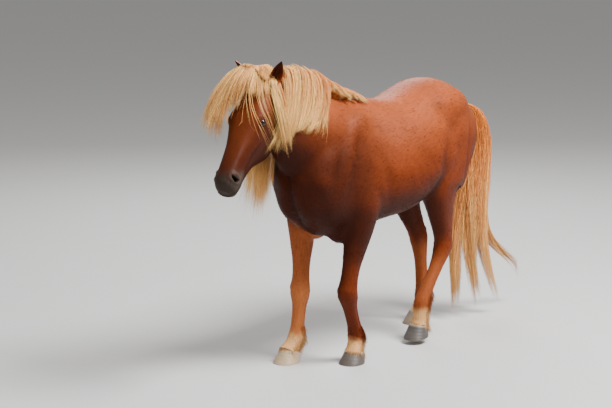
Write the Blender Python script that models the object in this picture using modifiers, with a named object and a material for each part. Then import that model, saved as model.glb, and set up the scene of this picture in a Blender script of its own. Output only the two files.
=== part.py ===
"""A life-size icelandic horse, standing in a walk: one closed solid for each part of the body.

The horse faces -X, its left side is -Y and +Z is up. All sizes are in metres. The body is modelled whole,
from lofted tubes and muscle masses that are fused and relaxed into one surface, and then parted by thin cuts.
"""

import math

import bmesh
import bpy
import numpy as np
from mathutils import Matrix, Vector
from mathutils.bvhtree import BVHTree

# Where the middle of the model's box lies in the horse's own frame, whose zero is under the saddle.
BOX_MIDDLE = (-0.06, 0.0)

GAP = 0.0003
SKIN_GAP = 0.0005
SLIVER = 0.00002
VOXEL = 0.0045
BODY_TRIANGLES = 5600

# Trunk sections: station x, top, keel and widest heights, half width, roundness above and below.
TRUNK = (
    (-0.748, 1.085, 0.945, 1.010, 0.055, 2.0, 2.0),
    (-0.725, 1.150, 0.865, 1.005, 0.120, 2.0, 2.0),
    (-0.665, 1.220, 0.775, 0.990, 0.178, 2.2, 2.2),
    (-0.580, 1.275, 0.703, 0.970, 0.205, 2.2, 2.3),
    (-0.460, 1.330, 0.668, 0.950, 0.216, 2.0, 2.3),
    (-0.320, 1.374, 0.674, 0.950, 0.228, 1.7, 2.2),
    (-0.200, 1.382, 0.692, 0.960, 0.248, 1.6, 2.2),
    (-0.080, 1.360, 0.708, 0.980, 0.272, 1.8, 2.2),
    (0.060, 1.358, 0.718, 0.990, 0.288, 2.0, 2.2),
    (0.180, 1.392, 0.760, 1.000, 0.288, 2.1, 2.2),
    (0.300, 1.428, 0.822, 1.030, 0.268, 2.2, 2.2),
    (0.420, 1.430, 0.880, 1.060, 0.246, 2.2, 2.2),
    (0.540, 1.396, 0.910, 1.080, 0.224, 2.2, 2.2),
    (0.630, 1.340, 0.945, 1.080, 0.190, 2.1, 2.2),
    (0.690, 1.270, 0.985, 1.090, 0.145, 2.0, 2.0),
    (0.718, 1.205, 1.030, 1.110, 0.080, 2.0, 2.0),
)
# Neck sections: share of the way, centre x, y and z, reach to the crest and to the throat, half width.
NECK = (
    (0.00, -0.400, 0.000, 1.060, 0.315, 0.260, 0.165),
    (0.22, -0.520, 0.000, 1.135, 0.290, 0.250, 0.172),
    (0.42, -0.645, -0.002, 1.215, 0.245, 0.215, 0.145),
    (0.60, -0.755, -0.008, 1.285, 0.208, 0.180, 0.118),
    (0.76, -0.855, -0.018, 1.345, 0.172, 0.150, 0.098),
    (0.90, -0.940, -0.030, 1.395, 0.138, 0.125, 0.085),
    (1.00, -1.000, -0.040, 1.425, 0.108, 0.105, 0.072),
)

# The head's own frame: the poll, how far it turns to the horse's left and how steeply the face points down.
POLL = (-1.022, -0.039, 1.513)
HEAD_TURN = 11.6
HEAD_PITCH = 48.0
# Head sections: distance from the poll, face line, jaw line, widest line, half width, roundness of face and jaw.
HEAD = (
    (-0.040, -0.025, -0.130, -0.075, 0.050, 2.0, 2.0),
    (0.000, 0.000, -0.170, -0.070, 0.074, 2.2, 2.1),
    (0.060, 0.014, -0.222, -0.062, 0.090, 2.5, 2.1),
    (0.125, 0.020, -0.274, -0.058, 0.098, 2.7, 2.2),
    (0.190, 0.016, -0.294, -0.058, 0.099, 2.8, 2.3),
    (0.250, 0.008, -0.285, -0.066, 0.090, 2.7, 2.4),
    (0.310, 0.002, -0.244, -0.072, 0.077, 2.6, 2.4),
    (0.370, -0.002, -0.199, -0.076, 0.065, 2.6, 2.4),
    (0.430, -0.004, -0.178, -0.078, 0.059, 2.5, 2.4),
    (0.490, -0.006, -0.165, -0.078, 0.060, 2.4, 2.4),
    (0.540, -0.014, -0.157, -0.080, 0.060, 2.4, 2.3),
    (0.572, -0.030, -0.146, -0.085, 0.052, 2.3, 2.2),
    (0.592, -0.060, -0.118, -0.088, 0.031, 2.0, 2.0),
)
EYE = (0.205, -0.030, 0.083)
EYE_RADIUS = 0.0215
NOSTRIL = (0.522, -0.046, 0.050)

# Leg joints, from inside the trunk down to the top of the hoof.
LEG_JOINTS = {
    "foreleg_left": (
        (-0.430, -0.150, 0.960),
        (-0.362, -0.160, 0.800),
        (-0.462, -0.155, 0.392),
        (-0.380, -0.142, 0.155),
        (-0.402, -0.147, 0.055),
    ),
    "foreleg_right": (
        (-0.500, 0.150, 0.960),
        (-0.425, 0.176, 0.795),
        (-0.500, 0.132, 0.378),
        (-0.540, 0.130, 0.132),
        (-0.615, 0.128, 0.055),
    ),
    "hindleg_left": (
        (0.450, -0.115, 1.130),
        (0.285, -0.168, 0.860),
        (0.385, -0.150, 0.515),
        (0.205, -0.140, 0.225),
        (0.184, -0.140, 0.095),
    ),
    "hindleg_right": (
        (0.480, 0.115, 1.130),
        (0.375, 0.165, 0.855),
        (0.560, 0.150, 0.500),
        (0.590, 0.142, 0.160),
        (0.552, 0.142, 0.055),
    ),
}
# Leg sections: joint number plus the share of the way to the next, reach forward, back, outward and inward.
FORELEG = (
    (0.00, 0.110, 0.110, 0.070, 0.070),
    (0.55, 0.115, 0.120, 0.084, 0.072),
    (1.00, 0.102, 0.100, 0.088, 0.068),
    (1.22, 0.088, 0.084, 0.080, 0.062),
    (1.45, 0.070, 0.066, 0.061, 0.055),
    (1.70, 0.052, 0.048, 0.046, 0.045),
    (1.88, 0.048, 0.045, 0.048, 0.047),
    (2.00, 0.053, 0.048, 0.054, 0.053),
    (2.13, 0.049, 0.053, 0.051, 0.050),
    (2.30, 0.037, 0.045, 0.041, 0.040),
    (2.55, 0.032, 0.040, 0.037, 0.037),
    (2.82, 0.033, 0.042, 0.038, 0.038),
    (3.00, 0.037, 0.048, 0.044, 0.044),
    (3.40, 0.034, 0.043, 0.040, 0.040),
    (3.75, 0.037, 0.042, 0.044, 0.044),
    (4.00, 0.047, 0.047, 0.050, 0.050),
)
HINDLEG = (
    (0.00, 0.190, 0.215, 0.118, 0.090),
    (0.40, 0.185, 0.230, 0.115, 0.095),
    (0.75, 0.145, 0.225, 0.104, 0.088),
    (1.00, 0.108, 0.188, 0.092, 0.080),
    (1.25, 0.088, 0.140, 0.078, 0.069),
    (1.50, 0.074, 0.103, 0.064, 0.057),
    (1.75, 0.061, 0.071, 0.052, 0.047),
    (1.92, 0.054, 0.062, 0.048, 0.046),
    (2.03, 0.054, 0.060, 0.050, 0.048),
    (2.18, 0.046, 0.051, 0.044, 0.043),
    (2.38, 0.035, 0.042, 0.037, 0.036),
    (2.62, 0.033, 0.039, 0.036, 0.036),
    (2.85, 0.034, 0.043, 0.038, 0.038),
    (3.00, 0.038, 0.047, 0.043, 0.043),
    (3.40, 0.035, 0.042, 0.040, 0.040),
    (3.75, 0.037, 0.042, 0.043, 0.043),
    (4.00, 0.047, 0.047, 0.049, 0.049),
)
# Muscle masses on both sides: centre (x, distance from the middle, z), radii, lean backward in degrees.
MUSCLES = (
    ((-0.425, 0.104, 1.110), (0.125, 0.080, 0.245), 38.0),
    ((-0.630, 0.112, 0.985), (0.090, 0.080, 0.105), 0.0),
    ((-0.370, 0.152, 0.935), (0.135, 0.078, 0.140), 30.0),
    ((-0.650, 0.068, 0.880), (0.075, 0.080, 0.120), -15.0),
    ((-0.430, 0.085, 0.725), (0.110, 0.060, 0.090), 0.0),
    ((0.385, 0.102, 1.262), (0.235, 0.127, 0.136), 0.0),
    ((0.258, 0.168, 1.212), (0.075, 0.056, 0.062), 0.0),
    ((0.580, 0.098, 1.060), (0.118, 0.100, 0.215), 17.0),
)
HOCK_POINT = (0.046, 0.045)
# The hamstrings, from the seat down to the gaskin: centre, radii, lean backward in degrees.
HAMSTRINGS = (
    ((0.462, -0.132, 0.862), (0.080, 0.066, 0.175), 41.0),
    ((0.550, 0.132, 0.845), (0.080, 0.064, 0.170), 30.0),
)

HOOF_TOP = (0.0, 0.075, 0.040)
# Hoof poses: leg, name, middle of the sole in x and y, turn outward and lift of the heel in degrees.
HOOVES = (
    ("foreleg_left", "hoof_fore_left", (-0.415, -0.147), 6.0, 0.0),
    ("foreleg_right", "hoof_fore_right", (-0.622, 0.128), 4.0, 0.0),
    ("hindleg_left", "hoof_hind_left", (0.156, -0.140), 3.0, 5.0),
    ("hindleg_right", "hoof_hind_right", (0.522, 0.142), 5.0, 0.0),
)
# How high the lifted hoof hangs over the floor.
LIFTED = 0.024
# Hoof sections, sole to coronet: height at toe and heel, toe and heel ends, half width.
HOOF = (
    (0.000, 0.000, -0.072, 0.060, 0.064),
    (0.012, 0.008, -0.065, 0.063, 0.062),
    (0.045, 0.027, -0.041, 0.072, 0.055),
    (0.078, 0.043, -0.018, 0.080, 0.049),
)
# The part of the body each leg takes: an outline in x and z, and how far from the middle it begins.
FORELEG_REGION = ((-0.56, 0.755), (-0.76, 0.60), (-0.80, -0.10), (-0.16, -0.10), (-0.22, 0.755))
HINDLEG_REGION = (
    (0.205, 0.90), (0.170, 0.70), (0.05, 0.45), (0.0, -0.10), (0.75, -0.10), (0.78, 0.80), (0.72, 0.90)
)
LEG_REGIONS = {
    "foreleg_left": (FORELEG_REGION, -0.40, -0.084),
    "foreleg_right": (FORELEG_REGION, 0.078, 0.40),
    "hindleg_left": (HINDLEG_REGION, -0.40, -0.050),
    "hindleg_right": (HINDLEG_REGION, 0.050, 0.40),
}
# Where the neck and the head begin: a point of the plane and the way to the node.
NECK_CUT = ((-0.560, 0.0, 1.240), (-0.669, 0.0, 0.743))
HEAD_CUT = ((-0.945, -0.030, 1.340), (-0.97, -0.18, -0.11))

# Where the mane ends and the forelock begins: a point of the plane and the way to the mane.
HAIR_PART = ((-0.922, -0.100, 1.450), (0.98, 0.20, 0.0))

EAR_LENGTH = 0.104
EAR_BASE = (-0.034, -0.014, 0.072)
# Ear sections: share of the length, half width, depth of the cup, thickness of its wall.
EAR = (
    (0.00, 0.020, 0.040, 0.014),
    (0.14, 0.026, 0.044, 0.011),
    (0.32, 0.032, 0.038, 0.008),
    (0.55, 0.030, 0.027, 0.007),
    (0.76, 0.020, 0.016, 0.006),
    (0.92, 0.009, 0.008, 0.004),
    (1.00, 0.002, 0.002, 0.001),
)

# The tail's middle line, its half depth and half width, and how far the hair spreads there.
TAIL = (
    (0.650, 0.0, 1.262, 0.050, 0.052),
    (0.725, 0.0, 1.258, 0.055, 0.058),
    (0.810, 0.0, 1.222, 0.072, 0.072),
    (0.862, 0.0, 1.140, 0.102, 0.088),
    (0.872, 0.0, 1.010, 0.130, 0.098),
    (0.856, 0.0, 0.850, 0.142, 0.102),
    (0.838, 0.0, 0.690, 0.150, 0.104),
    (0.832, 0.0, 0.530, 0.160, 0.104),
    (0.850, 0.0, 0.370, 0.184, 0.106),
    (0.895, 0.0, 0.200, 0.226, 0.112),
    (0.950, 0.0, 0.035, 0.290, 0.118),
)
DOCK_END = 4.6
# The forelock's outer sheet: from its right edge to its left one, each lock line from the poll to the tip, as
# distances down the face, out of it and to the horse's right.
FORELOCK = (
    ((-0.100, -0.040, 0.034), (-0.053, 0.070, 0.050), (-0.015, 0.074, 0.090), (0.059, 0.070, 0.115),
     (0.132, 0.041, 0.130), (0.202, 0.004, 0.132), (0.271, -0.038, 0.128), (0.331, -0.082, 0.120)),
    ((-0.100, -0.040, 0.026), (-0.048, 0.090, 0.035), (0.000, 0.114, 0.075), (0.072, 0.115, 0.105),
     (0.145, 0.098, 0.125), (0.208, 0.066, 0.132), (0.259, 0.026, 0.130), (0.317, -0.004, 0.125)),
    ((-0.100, -0.040, 0.019), (-0.044, 0.100, 0.020), (0.009, 0.133, 0.050), (0.076, 0.134, 0.080),
     (0.143, 0.117, 0.102), (0.203, 0.093, 0.115), (0.264, 0.072, 0.120), (0.326, 0.051, 0.122)),
    ((-0.100, -0.040, 0.011), (-0.048, 0.092, 0.010), (0.023, 0.130, 0.020), (0.089, 0.124, 0.040),
     (0.143, 0.095, 0.062), (0.192, 0.065, 0.078), (0.236, 0.038, 0.086), (0.277, 0.007, 0.088)),
    ((-0.100, -0.040, 0.004), (-0.051, 0.083, 0.000), (0.028, 0.107, 0.000), (0.091, 0.098, 0.008),
     (0.143, 0.074, 0.020), (0.189, 0.050, 0.030), (0.223, 0.024, 0.037), (0.252, 0.001, 0.040)),
    ((-0.100, -0.040, -0.004), (-0.056, 0.073, 0.000), (0.029, 0.097, -0.015), (0.126, 0.113, -0.040),
     (0.200, 0.092, -0.070), (0.253, 0.041, -0.098), (0.281, -0.045, -0.110), (0.298, -0.145, -0.112)),
    ((-0.100, -0.040, -0.011), (-0.080, 0.050, -0.005), (0.012, 0.076, -0.030), (0.116, 0.086, -0.065),
     (0.179, 0.039, -0.090), (0.220, -0.036, -0.112), (0.235, -0.142, -0.120), (0.253, -0.255, -0.118)),
    ((-0.100, -0.040, -0.019), (-0.104, 0.022, -0.010), (-0.015, 0.041, -0.045), (0.078, 0.026, -0.085),
     (0.136, -0.031, -0.108), (0.176, -0.115, -0.122), (0.206, -0.217, -0.125), (0.243, -0.314, -0.120)),
    ((-0.100, -0.040, -0.026), (-0.116, 0.005, -0.020), (-0.043, 0.004, -0.060), (0.029, -0.031, -0.098),
     (0.082, -0.092, -0.118), (0.129, -0.162, -0.128), (0.168, -0.238, -0.128), (0.198, -0.311, -0.122)),
    ((-0.100, -0.040, -0.034), (-0.121, -0.018, -0.030), (-0.063, -0.046, -0.075), (-0.004, -0.091, -0.108),
     (0.050, -0.143, -0.124), (0.096, -0.201, -0.130), (0.135, -0.251, -0.130), (0.165, -0.301, -0.125)),
)
# The mane's outer sheet on the left, from behind the ear to the withers, each lock line from the crest to the tip.
MANE = (
    ((-0.863, -0.052, 1.577), (-0.878, -0.090, 1.562), (-0.898, -0.122, 1.499), (-0.903, -0.134, 1.425),
     (-0.900, -0.136, 1.354), (-0.898, -0.132, 1.277), (-0.903, -0.126, 1.182)),
    ((-0.866, -0.045, 1.585), (-0.866, -0.085, 1.572), (-0.876, -0.118, 1.507), (-0.878, -0.130, 1.432),
     (-0.880, -0.134, 1.352), (-0.884, -0.132, 1.276), (-0.900, -0.128, 1.204)),
    ((-0.796, -0.035, 1.594), (-0.790, -0.080, 1.573), (-0.811, -0.118, 1.501), (-0.828, -0.132, 1.423),
     (-0.839, -0.136, 1.348), (-0.842, -0.134, 1.291), (-0.849, -0.130, 1.241)),
    ((-0.719, -0.030, 1.588), (-0.713, -0.075, 1.559), (-0.737, -0.115, 1.485), (-0.757, -0.130, 1.411),
     (-0.771, -0.134, 1.341), (-0.777, -0.134, 1.292), (-0.781, -0.130, 1.250)),
    ((-0.641, -0.025, 1.572), (-0.632, -0.068, 1.537), (-0.650, -0.108, 1.468), (-0.669, -0.126, 1.397),
     (-0.685, -0.132, 1.329), (-0.697, -0.132, 1.280), (-0.709, -0.130, 1.242)),
    ((-0.569, -0.020, 1.548), (-0.556, -0.060, 1.511), (-0.573, -0.100, 1.449), (-0.585, -0.120, 1.385),
     (-0.595, -0.128, 1.328), (-0.603, -0.130, 1.278), (-0.610, -0.128, 1.227)),
    ((-0.501, -0.015, 1.519), (-0.476, -0.045, 1.484), (-0.478, -0.075, 1.443), (-0.489, -0.092, 1.405),
     (-0.501, -0.102, 1.372), (-0.518, -0.108, 1.342), (-0.536, -0.110, 1.317)),
)
# The short fringe behind it, swept back toward the saddle.
FRINGE = (
    ((-0.565, 0.000, 1.530), (-0.535, -0.020, 1.538), (-0.515, -0.045, 1.515), (-0.502, -0.070, 1.478),
     (-0.496, -0.088, 1.440)),
    ((-0.495, 0.000, 1.512), (-0.482, -0.030, 1.511), (-0.463, -0.055, 1.487), (-0.450, -0.075, 1.456),
     (-0.443, -0.090, 1.421)),
    ((-0.408, 0.000, 1.465), (-0.388, -0.025, 1.467), (-0.369, -0.050, 1.447), (-0.355, -0.072, 1.424),
     (-0.349, -0.090, 1.397)),
    ((-0.319, 0.000, 1.425), (-0.296, -0.022, 1.429), (-0.273, -0.045, 1.411), (-0.263, -0.070, 1.387),
     (-0.265, -0.095, 1.361)),
    ((-0.236, 0.000, 1.394), (-0.212, -0.022, 1.396), (-0.186, -0.045, 1.375), (-0.181, -0.075, 1.350),
     (-0.180, -0.105, 1.322)),
)
# How much lower the mane's lines end on the right side.
RIGHT_DROP = (0.12, 0.22, 0.30, 0.28, 0.18, 0.08, 0.0)
# Tail locks that are blown back, and how far.
TAIL_BLOWN = {3: 0.66, 8: 0.74, 11: 0.60}
LOCK_SIZES = {
    "mane": (0.066, 0.016),
    "crest": (0.048, 0.013),
    "forelock": (0.056, 0.017),
    "tail": (0.078, 0.024),
}
LOCK_TAPER = ((0.0, 0.72), (0.25, 1.0), (0.55, 0.88), (0.82, 0.52), (1.0, 0.06))


def clear_scene():
    for item in list(bpy.data.objects):
        bpy.data.objects.remove(item, do_unlink=True)


def material(name, colour, roughness):
    made = bpy.data.materials.new(name)
    made.use_nodes = True
    shader = made.node_tree.nodes["Principled BSDF"]
    shader.inputs["Base Color"].default_value = (*colour, 1.0)
    shader.inputs["Roughness"].default_value = roughness
    return made


def spline(rows, at):
    """A cubic Hermite curve through rows whose first column is the station."""
    rows = np.asarray(rows, float)
    station, value = rows[:, 0], rows[:, 1:]
    slope = np.gradient(value, station, axis=0)
    i = np.clip(np.searchsorted(station, at, side="right") - 1, 0, len(station) - 2)
    span = (station[i + 1] - station[i])[:, None]
    t = (np.asarray(at) - station[i])[:, None] / span
    start = (2 * t**3 - 3 * t**2 + 1) * value[i] + (t**3 - 2 * t**2 + t) * span * slope[i]
    end = (3 * t**2 - 2 * t**3) * value[i + 1] + (t**3 - t**2) * span * slope[i + 1]
    return start + end


def oval(sides, fore, aft, right, left, fore_power, aft_power):
    """Superellipse sections: one row of (depth, width) pairs for each entry of the arrays."""
    angle = np.arange(sides) / sides * 2 * math.pi
    c, s = np.cos(angle)[None, :], np.sin(angle)[None, :]
    power = np.where(c > 0, fore_power[:, None], aft_power[:, None])
    depth = np.where(c > 0, fore[:, None], aft[:, None]) * np.sign(c) * np.abs(c) ** (2 / power)
    width = np.where(s > 0, right[:, None], left[:, None]) * np.sign(s) * np.abs(s) ** (2 / power)
    return depth, width


def skin_rings(rings):
    """Closes a stack of rings into one body, with a fan at each end."""
    count, sides = rings.shape[:2]
    points = np.vstack([rings.reshape(-1, 3), rings[0].mean(0), rings[-1].mean(0)])
    ring, side = np.meshgrid(np.arange(count - 1), np.arange(sides), indexing="ij")
    after = (side + 1) % sides
    walls = np.stack([ring * sides + side, ring * sides + after, (ring + 1) * sides + after, (ring + 1) * sides + side], -1)
    first, last = count * sides, count * sides + 1
    faces = [tuple(int(k) for k in face) for face in walls.reshape(-1, 4)]
    for k in range(sides):
        nxt = (k + 1) % sides
        faces.append((first, nxt, k))
        faces.append((last, (count - 1) * sides + k, (count - 1) * sides + nxt))
    return points, faces


def sweep(centres, fore, aft, right, left, fore_power, aft_power, sides=28, across=(0.0, 1.0, 0.0)):
    """A tube of oval sections along a path. Fore is the side that faces across x the way along the path."""
    centres = np.asarray(centres)
    along = np.gradient(centres, axis=0)
    along /= np.linalg.norm(along, axis=1)[:, None]
    side = np.asarray(across)[None, :] - along * (along @ np.asarray(across))[:, None]
    side /= np.linalg.norm(side, axis=1)[:, None]
    face = np.cross(side, along)
    depth, width = oval(sides, fore, aft, right, left, fore_power, aft_power)
    rings = centres[:, None, :] + depth[..., None] * face[:, None, :] + width[..., None] * side[:, None, :]
    return skin_rings(rings)


def trunk():
    at = np.linspace(TRUNK[0][0], TRUNK[-1][0], 60)
    top, keel, widest, half, above, below = spline(TRUNK, at).T
    depth, width = oval(40, top - widest, widest - keel, half, half, above, below)
    rings = np.empty((len(at), 40, 3))
    rings[..., 0] = at[:, None]
    rings[..., 1] = width
    rings[..., 2] = widest[:, None] + depth
    return skin_rings(rings)


def neck():
    x, y, z, crest, throat, half = spline(NECK, np.linspace(0, 1, 30)).T
    round_power = np.full(30, 2.0)
    return sweep(np.stack([x, y, z], 1), crest, throat, half, half, round_power * 0.85, round_power)


def head_axes():
    """The poll, and unit vectors down the face, out of the forehead and to the horse's right."""
    turn, pitch = math.radians(HEAD_TURN), math.radians(HEAD_PITCH)
    down_face = np.array([-math.cos(turn) * math.cos(pitch), -math.sin(turn) * math.cos(pitch), -math.sin(pitch)])
    right = np.array([-math.sin(turn), math.cos(turn), 0.0])
    out = np.cross(right, down_face)
    return np.array(POLL), down_face, out, right


def head_point(down, out, right):
    poll, down_axis, out_axis, right_axis = head_axes()
    return poll + down * down_axis + out * out_axis + right * right_axis


def head():
    poll, down_axis, out_axis, right_axis = head_axes()
    at = np.linspace(HEAD[0][0], HEAD[-1][0], 54)
    face, jaw, widest, half, face_power, jaw_power = spline(HEAD, at).T
    depth, width = oval(40, face - widest, widest - jaw, half, half, face_power, jaw_power)
    depth = depth + widest[:, None]
    # The jaw is narrower than the forehead, so the section is pinched below its widest line.
    below = np.clip((widest[:, None] - depth) / (widest - jaw)[:, None], 0, 1)
    width = width * (1 - 0.22 * below)
    rings = (
        poll
        + at[:, None, None] * down_axis
        + depth[..., None] * out_axis
        + width[..., None] * right_axis
    )
    return skin_rings(rings)


def hoof_matrix(name):
    """Places a hoof whose sole lies round its own zero with the toe at -X. A lifted one hangs toe down."""
    _, _, (x, y), out, lift = next(row for row in HOOVES if row[0] == name)
    toe = Vector((HOOF[0][2], 0.0, 0.0))
    turn = Matrix.Rotation(math.radians(-out if y > 0 else out), 4, "Z")
    tip = Matrix.Translation(toe) @ Matrix.Rotation(math.radians(-lift), 4, "Y") @ Matrix.Translation(-toe)
    raised = LIFTED if lift else 0.0
    return Matrix.Translation((x, y, raised)) @ turn @ tip


def leg(name):
    coronet = hoof_matrix(name) @ Vector((0.031, 0.0, 0.052))
    joints = np.array([*LEG_JOINTS[name], coronet])
    rows = FORELEG if name.startswith("fore") else HINDLEG
    path = np.column_stack([np.arange(len(joints)), joints])
    at = np.linspace(0, 4, 70)
    straight = np.stack([np.interp(at, path[:, 0], path[:, k]) for k in (1, 2, 3)], 1)
    centres = 0.45 * spline(path, at) + 0.55 * straight
    fore, aft, outer, inner = spline(rows, at).T
    right, left = (outer, inner) if joints[1][1] > 0 else (inner, outer)
    power = np.full(len(at), 2.2)
    return sweep(centres, fore, aft, right, left, power, power, sides=24)


def ball(centre, radii, lean=0.0, turn=0.0, fine=4):
    """An ellipsoid from Blender's own sphere, leaned backward about Y and turned about Z."""
    made = bmesh.new()
    bmesh.ops.create_icosphere(made, subdivisions=fine, radius=1.0)
    size = Matrix.Diagonal((*radii, 1.0))
    place_at = Matrix.Translation(Vector(centre)) @ Matrix.Rotation(math.radians(turn), 4, "Z")
    bmesh.ops.transform(made, matrix=place_at @ Matrix.Rotation(math.radians(lean), 4, "Y") @ size, verts=made.verts)
    points = np.array([v.co[:] for v in made.verts])
    faces = [tuple(v.index for v in f.verts) for f in made.faces]
    made.free()
    return points, faces


def muscles():
    pieces = []
    for (x, y, z), radii, lean in MUSCLES:
        for side in (-1, 1):
            pieces.append(ball((x, side * y, z), radii, lean))
    for name in ("hindleg_left", "hindleg_right"):
        hock = np.array(LEG_JOINTS[name][2])
        back = np.array([1.0, 0.0, 0.35])
        point = hock + HOCK_POINT[0] * back / np.linalg.norm(back)
        pieces.append(ball(point, (0.026, 0.023, HOCK_POINT[1]), 12.0))
    pieces += [ball(*row) for row in HAMSTRINGS]
    return pieces


def joined(pieces):
    points, faces, start = [], [], 0
    for some, these in pieces:
        points.append(some)
        faces += [tuple(k + start for k in face) for face in these]
        start += len(some)
    return np.vstack(points), faces


def mesh_from(name, points, faces):
    mesh = bpy.data.meshes.new(name)
    mesh.from_pydata(np.asarray(points).tolist(), [], faces)
    mesh.validate()
    return mesh


def place(name, mesh):
    item = bpy.data.objects.new(name, mesh)
    bpy.context.scene.collection.objects.link(item)
    return item


def applied(item):
    """The object with its modifiers applied."""
    bpy.context.view_layer.update()
    evaluated = item.evaluated_get(bpy.context.evaluated_depsgraph_get())
    mesh = bpy.data.meshes.new_from_object(evaluated)
    item.modifiers.clear()
    item.data = mesh
    return item


def coordinates(mesh):
    points = np.empty(len(mesh.vertices) * 3, np.float32)
    mesh.vertices.foreach_get("co", points)
    return points.reshape(-1, 3).astype(float)


def normals(mesh):
    found = np.empty(len(mesh.vertices) * 3, np.float32)
    mesh.vertex_normals.foreach_get("vector", found)
    return found.reshape(-1, 3).astype(float)


def put(mesh, points):
    mesh.vertices.foreach_set("co", np.asarray(points, np.float32).ravel())
    mesh.update()


def smooth_share(points):
    """How freely the surface may relax: fully on the trunk, little on the head and the lower legs."""
    poll, down_axis, _, _ = head_axes()
    along = (points - poll) @ down_axis
    head_part = np.clip((along + 0.06) / 0.10, 0, 1) * (points[:, 0] < -0.85)
    low = np.clip((0.72 - points[:, 2]) / 0.20, 0, 1)
    return 1 - np.maximum(0.80 * head_part, 0.86 * low)


def trunk_share(points):
    """The trunk alone, where the masses are to run into each other."""
    return np.clip((smooth_share(points) - 0.6) / 0.4, 0, 1)


def relax(mesh, rounds, share_of=None):
    """Moves every vertex part of the way to the middle of its neighbours."""
    edges = np.empty(len(mesh.edges) * 2, np.int32)
    mesh.edges.foreach_get("vertices", edges)
    a, b = edges.reshape(-1, 2).T
    count = len(mesh.vertices)
    degree = np.bincount(a, minlength=count) + np.bincount(b, minlength=count)
    points = coordinates(mesh)
    share = (0.5 * (share_of or smooth_share)(points))[:, None]
    for _ in range(rounds):
        total = np.stack(
            [np.bincount(a, points[b, k], count) + np.bincount(b, points[a, k], count) for k in range(3)], 1
        )
        points += share * (total / degree[:, None] - points)
    put(mesh, points)


def bump(along, across, reach_along, reach_across):
    return np.exp(-((along / reach_along) ** 2) - (across / reach_across) ** 2)


def head_relief(points):
    """How far the head's surface stands out: lids, brow, cheek, crest of the face, nostril rims and lips."""
    poll, down_axis, out_axis, right_axis = head_axes()
    local = points - poll
    u, v, w = local @ down_axis, local @ out_axis, local @ right_axis
    side = np.clip((np.abs(w) - 0.02) / 0.02, 0, 1)
    a, b = u - EYE[0], v - EYE[1]
    # The eye's long axis runs a little upward to the rear.
    a, b = a * 0.966 + b * 0.26, b * 0.966 - a * 0.26
    opening = np.clip(1 - (a / 0.0225) ** 2, 0, 1)
    upper, lower = 0.0120 * opening**0.7, -0.0085 * opening**0.8
    lids = 0.0034 * np.exp(-(((b - upper - 0.004) / 0.0055) ** 2)) + 0.0024 * np.exp(-(((b - lower + 0.004) / 0.0050) ** 2))
    lids *= np.clip(1.35 - (a / 0.028) ** 2, 0, 1)
    rise = 0.0070 * bump(a + 0.004, b - 0.010, 0.042, 0.032) + lids
    depth = np.minimum(upper - b, b - lower)
    inside = np.clip(0.5 + depth / 0.005, 0, 1) * (opening > 0)
    rise += inside * (-0.0025 - rise)
    rise -= 0.0060 * bump(u - 0.120, v + 0.012, 0.032, 0.018)
    rise += 0.0080 * bump(u - 0.135, v + 0.165, 0.070, 0.060)
    rise += 0.0050 * bump(u - 0.310, v + 0.080 - (u - 0.310) * 0.12, 0.070, 0.009)
    rise -= 0.0040 * bump(u - 0.360, v + 0.112, 0.060, 0.018)
    rise += 0.0030 * bump(u - 0.420, v + 0.020, 0.060, 0.020)
    n, m = u - NOSTRIL[0], v - NOSTRIL[1]
    ring = np.sqrt((n / 0.020) ** 2 + (m / 0.026) ** 2)
    rise += 0.0065 * np.exp(-(((ring - 1.0) / 0.55) ** 2))
    rise += 0.0035 * bump(u - 0.545, v + 0.098, 0.035, 0.010)
    rise += 0.0030 * bump(u - 0.520, v + 0.122, 0.028, 0.012)
    near = (np.abs(local).max(1) < 0.62) & (points[:, 0] < -0.85)
    return rise * side * near


def decimated(item, triangles, weight):
    """Thins a mesh to a number of triangles; it keeps more of them where the weight is low."""
    group = item.vertex_groups.new(name="keep")
    levels = np.round(weight * 8) / 8
    for level in np.unique(levels):
        if level > 0:
            group.add(np.flatnonzero(levels == level).tolist(), float(level), "REPLACE")
    now = sum(len(face.vertices) - 2 for face in item.data.polygons)
    thin = item.modifiers.new("Thin", "DECIMATE")
    thin.ratio = triangles / now
    thin.use_collapse_triangulate = True
    thin.vertex_group = "keep"
    thin.invert_vertex_group = True
    thin.vertex_group_factor = 1.6
    applied(item)
    item.vertex_groups.clear()
    return item


def plain_weight(points):
    poll, down_axis, out_axis, right_axis = head_axes()
    local = points - poll
    eye = np.stack([local @ down_axis - EYE[0], local @ out_axis - EYE[1], np.abs(local @ right_axis) - EYE[2]], 1)
    nostril = np.stack(
        [local @ down_axis - NOSTRIL[0], local @ out_axis - NOSTRIL[1], np.abs(local @ right_axis) - NOSTRIL[2]], 1
    )
    fine = np.exp(-((np.linalg.norm(eye, axis=1) / 0.045) ** 2))
    fine = np.maximum(fine, 0.8 * np.exp(-((np.linalg.norm(nostril, axis=1) / 0.050) ** 2)))
    head_part = (points[:, 0] < -0.93) * 0.25
    legs_part = (points[:, 2] < 0.70) * 0.12
    trunk_part = (points[:, 0] > -0.93) * (points[:, 2] >= 0.70) * 0.07
    return np.clip(np.maximum(fine * 0.7, head_part + legs_part + trunk_part), 0, 1)


def boolean(item, cutter, operation="DIFFERENCE", solver="EXACT"):
    """Cuts or joins one mesh with another, which is then removed."""
    step = item.modifiers.new("Cut", "BOOLEAN")
    step.operation = operation
    step.solver = solver
    step.object = cutter
    applied(item)
    bpy.data.objects.remove(cutter, do_unlink=True)
    return item


def union(items, solver="MANIFOLD"):
    """Joins a list of closed meshes into the first of them."""
    first, *rest = items
    group = bpy.data.collections.new("joining")
    for item in rest:
        group.objects.link(item)
    step = first.modifiers.new("Join", "BOOLEAN")
    step.operation = "UNION"
    step.solver = solver
    step.operand_type = "COLLECTION"
    step.collection = group
    applied(first)
    for item in rest:
        bpy.data.objects.remove(item, do_unlink=True)
    bpy.data.collections.remove(group)
    return first


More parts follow.
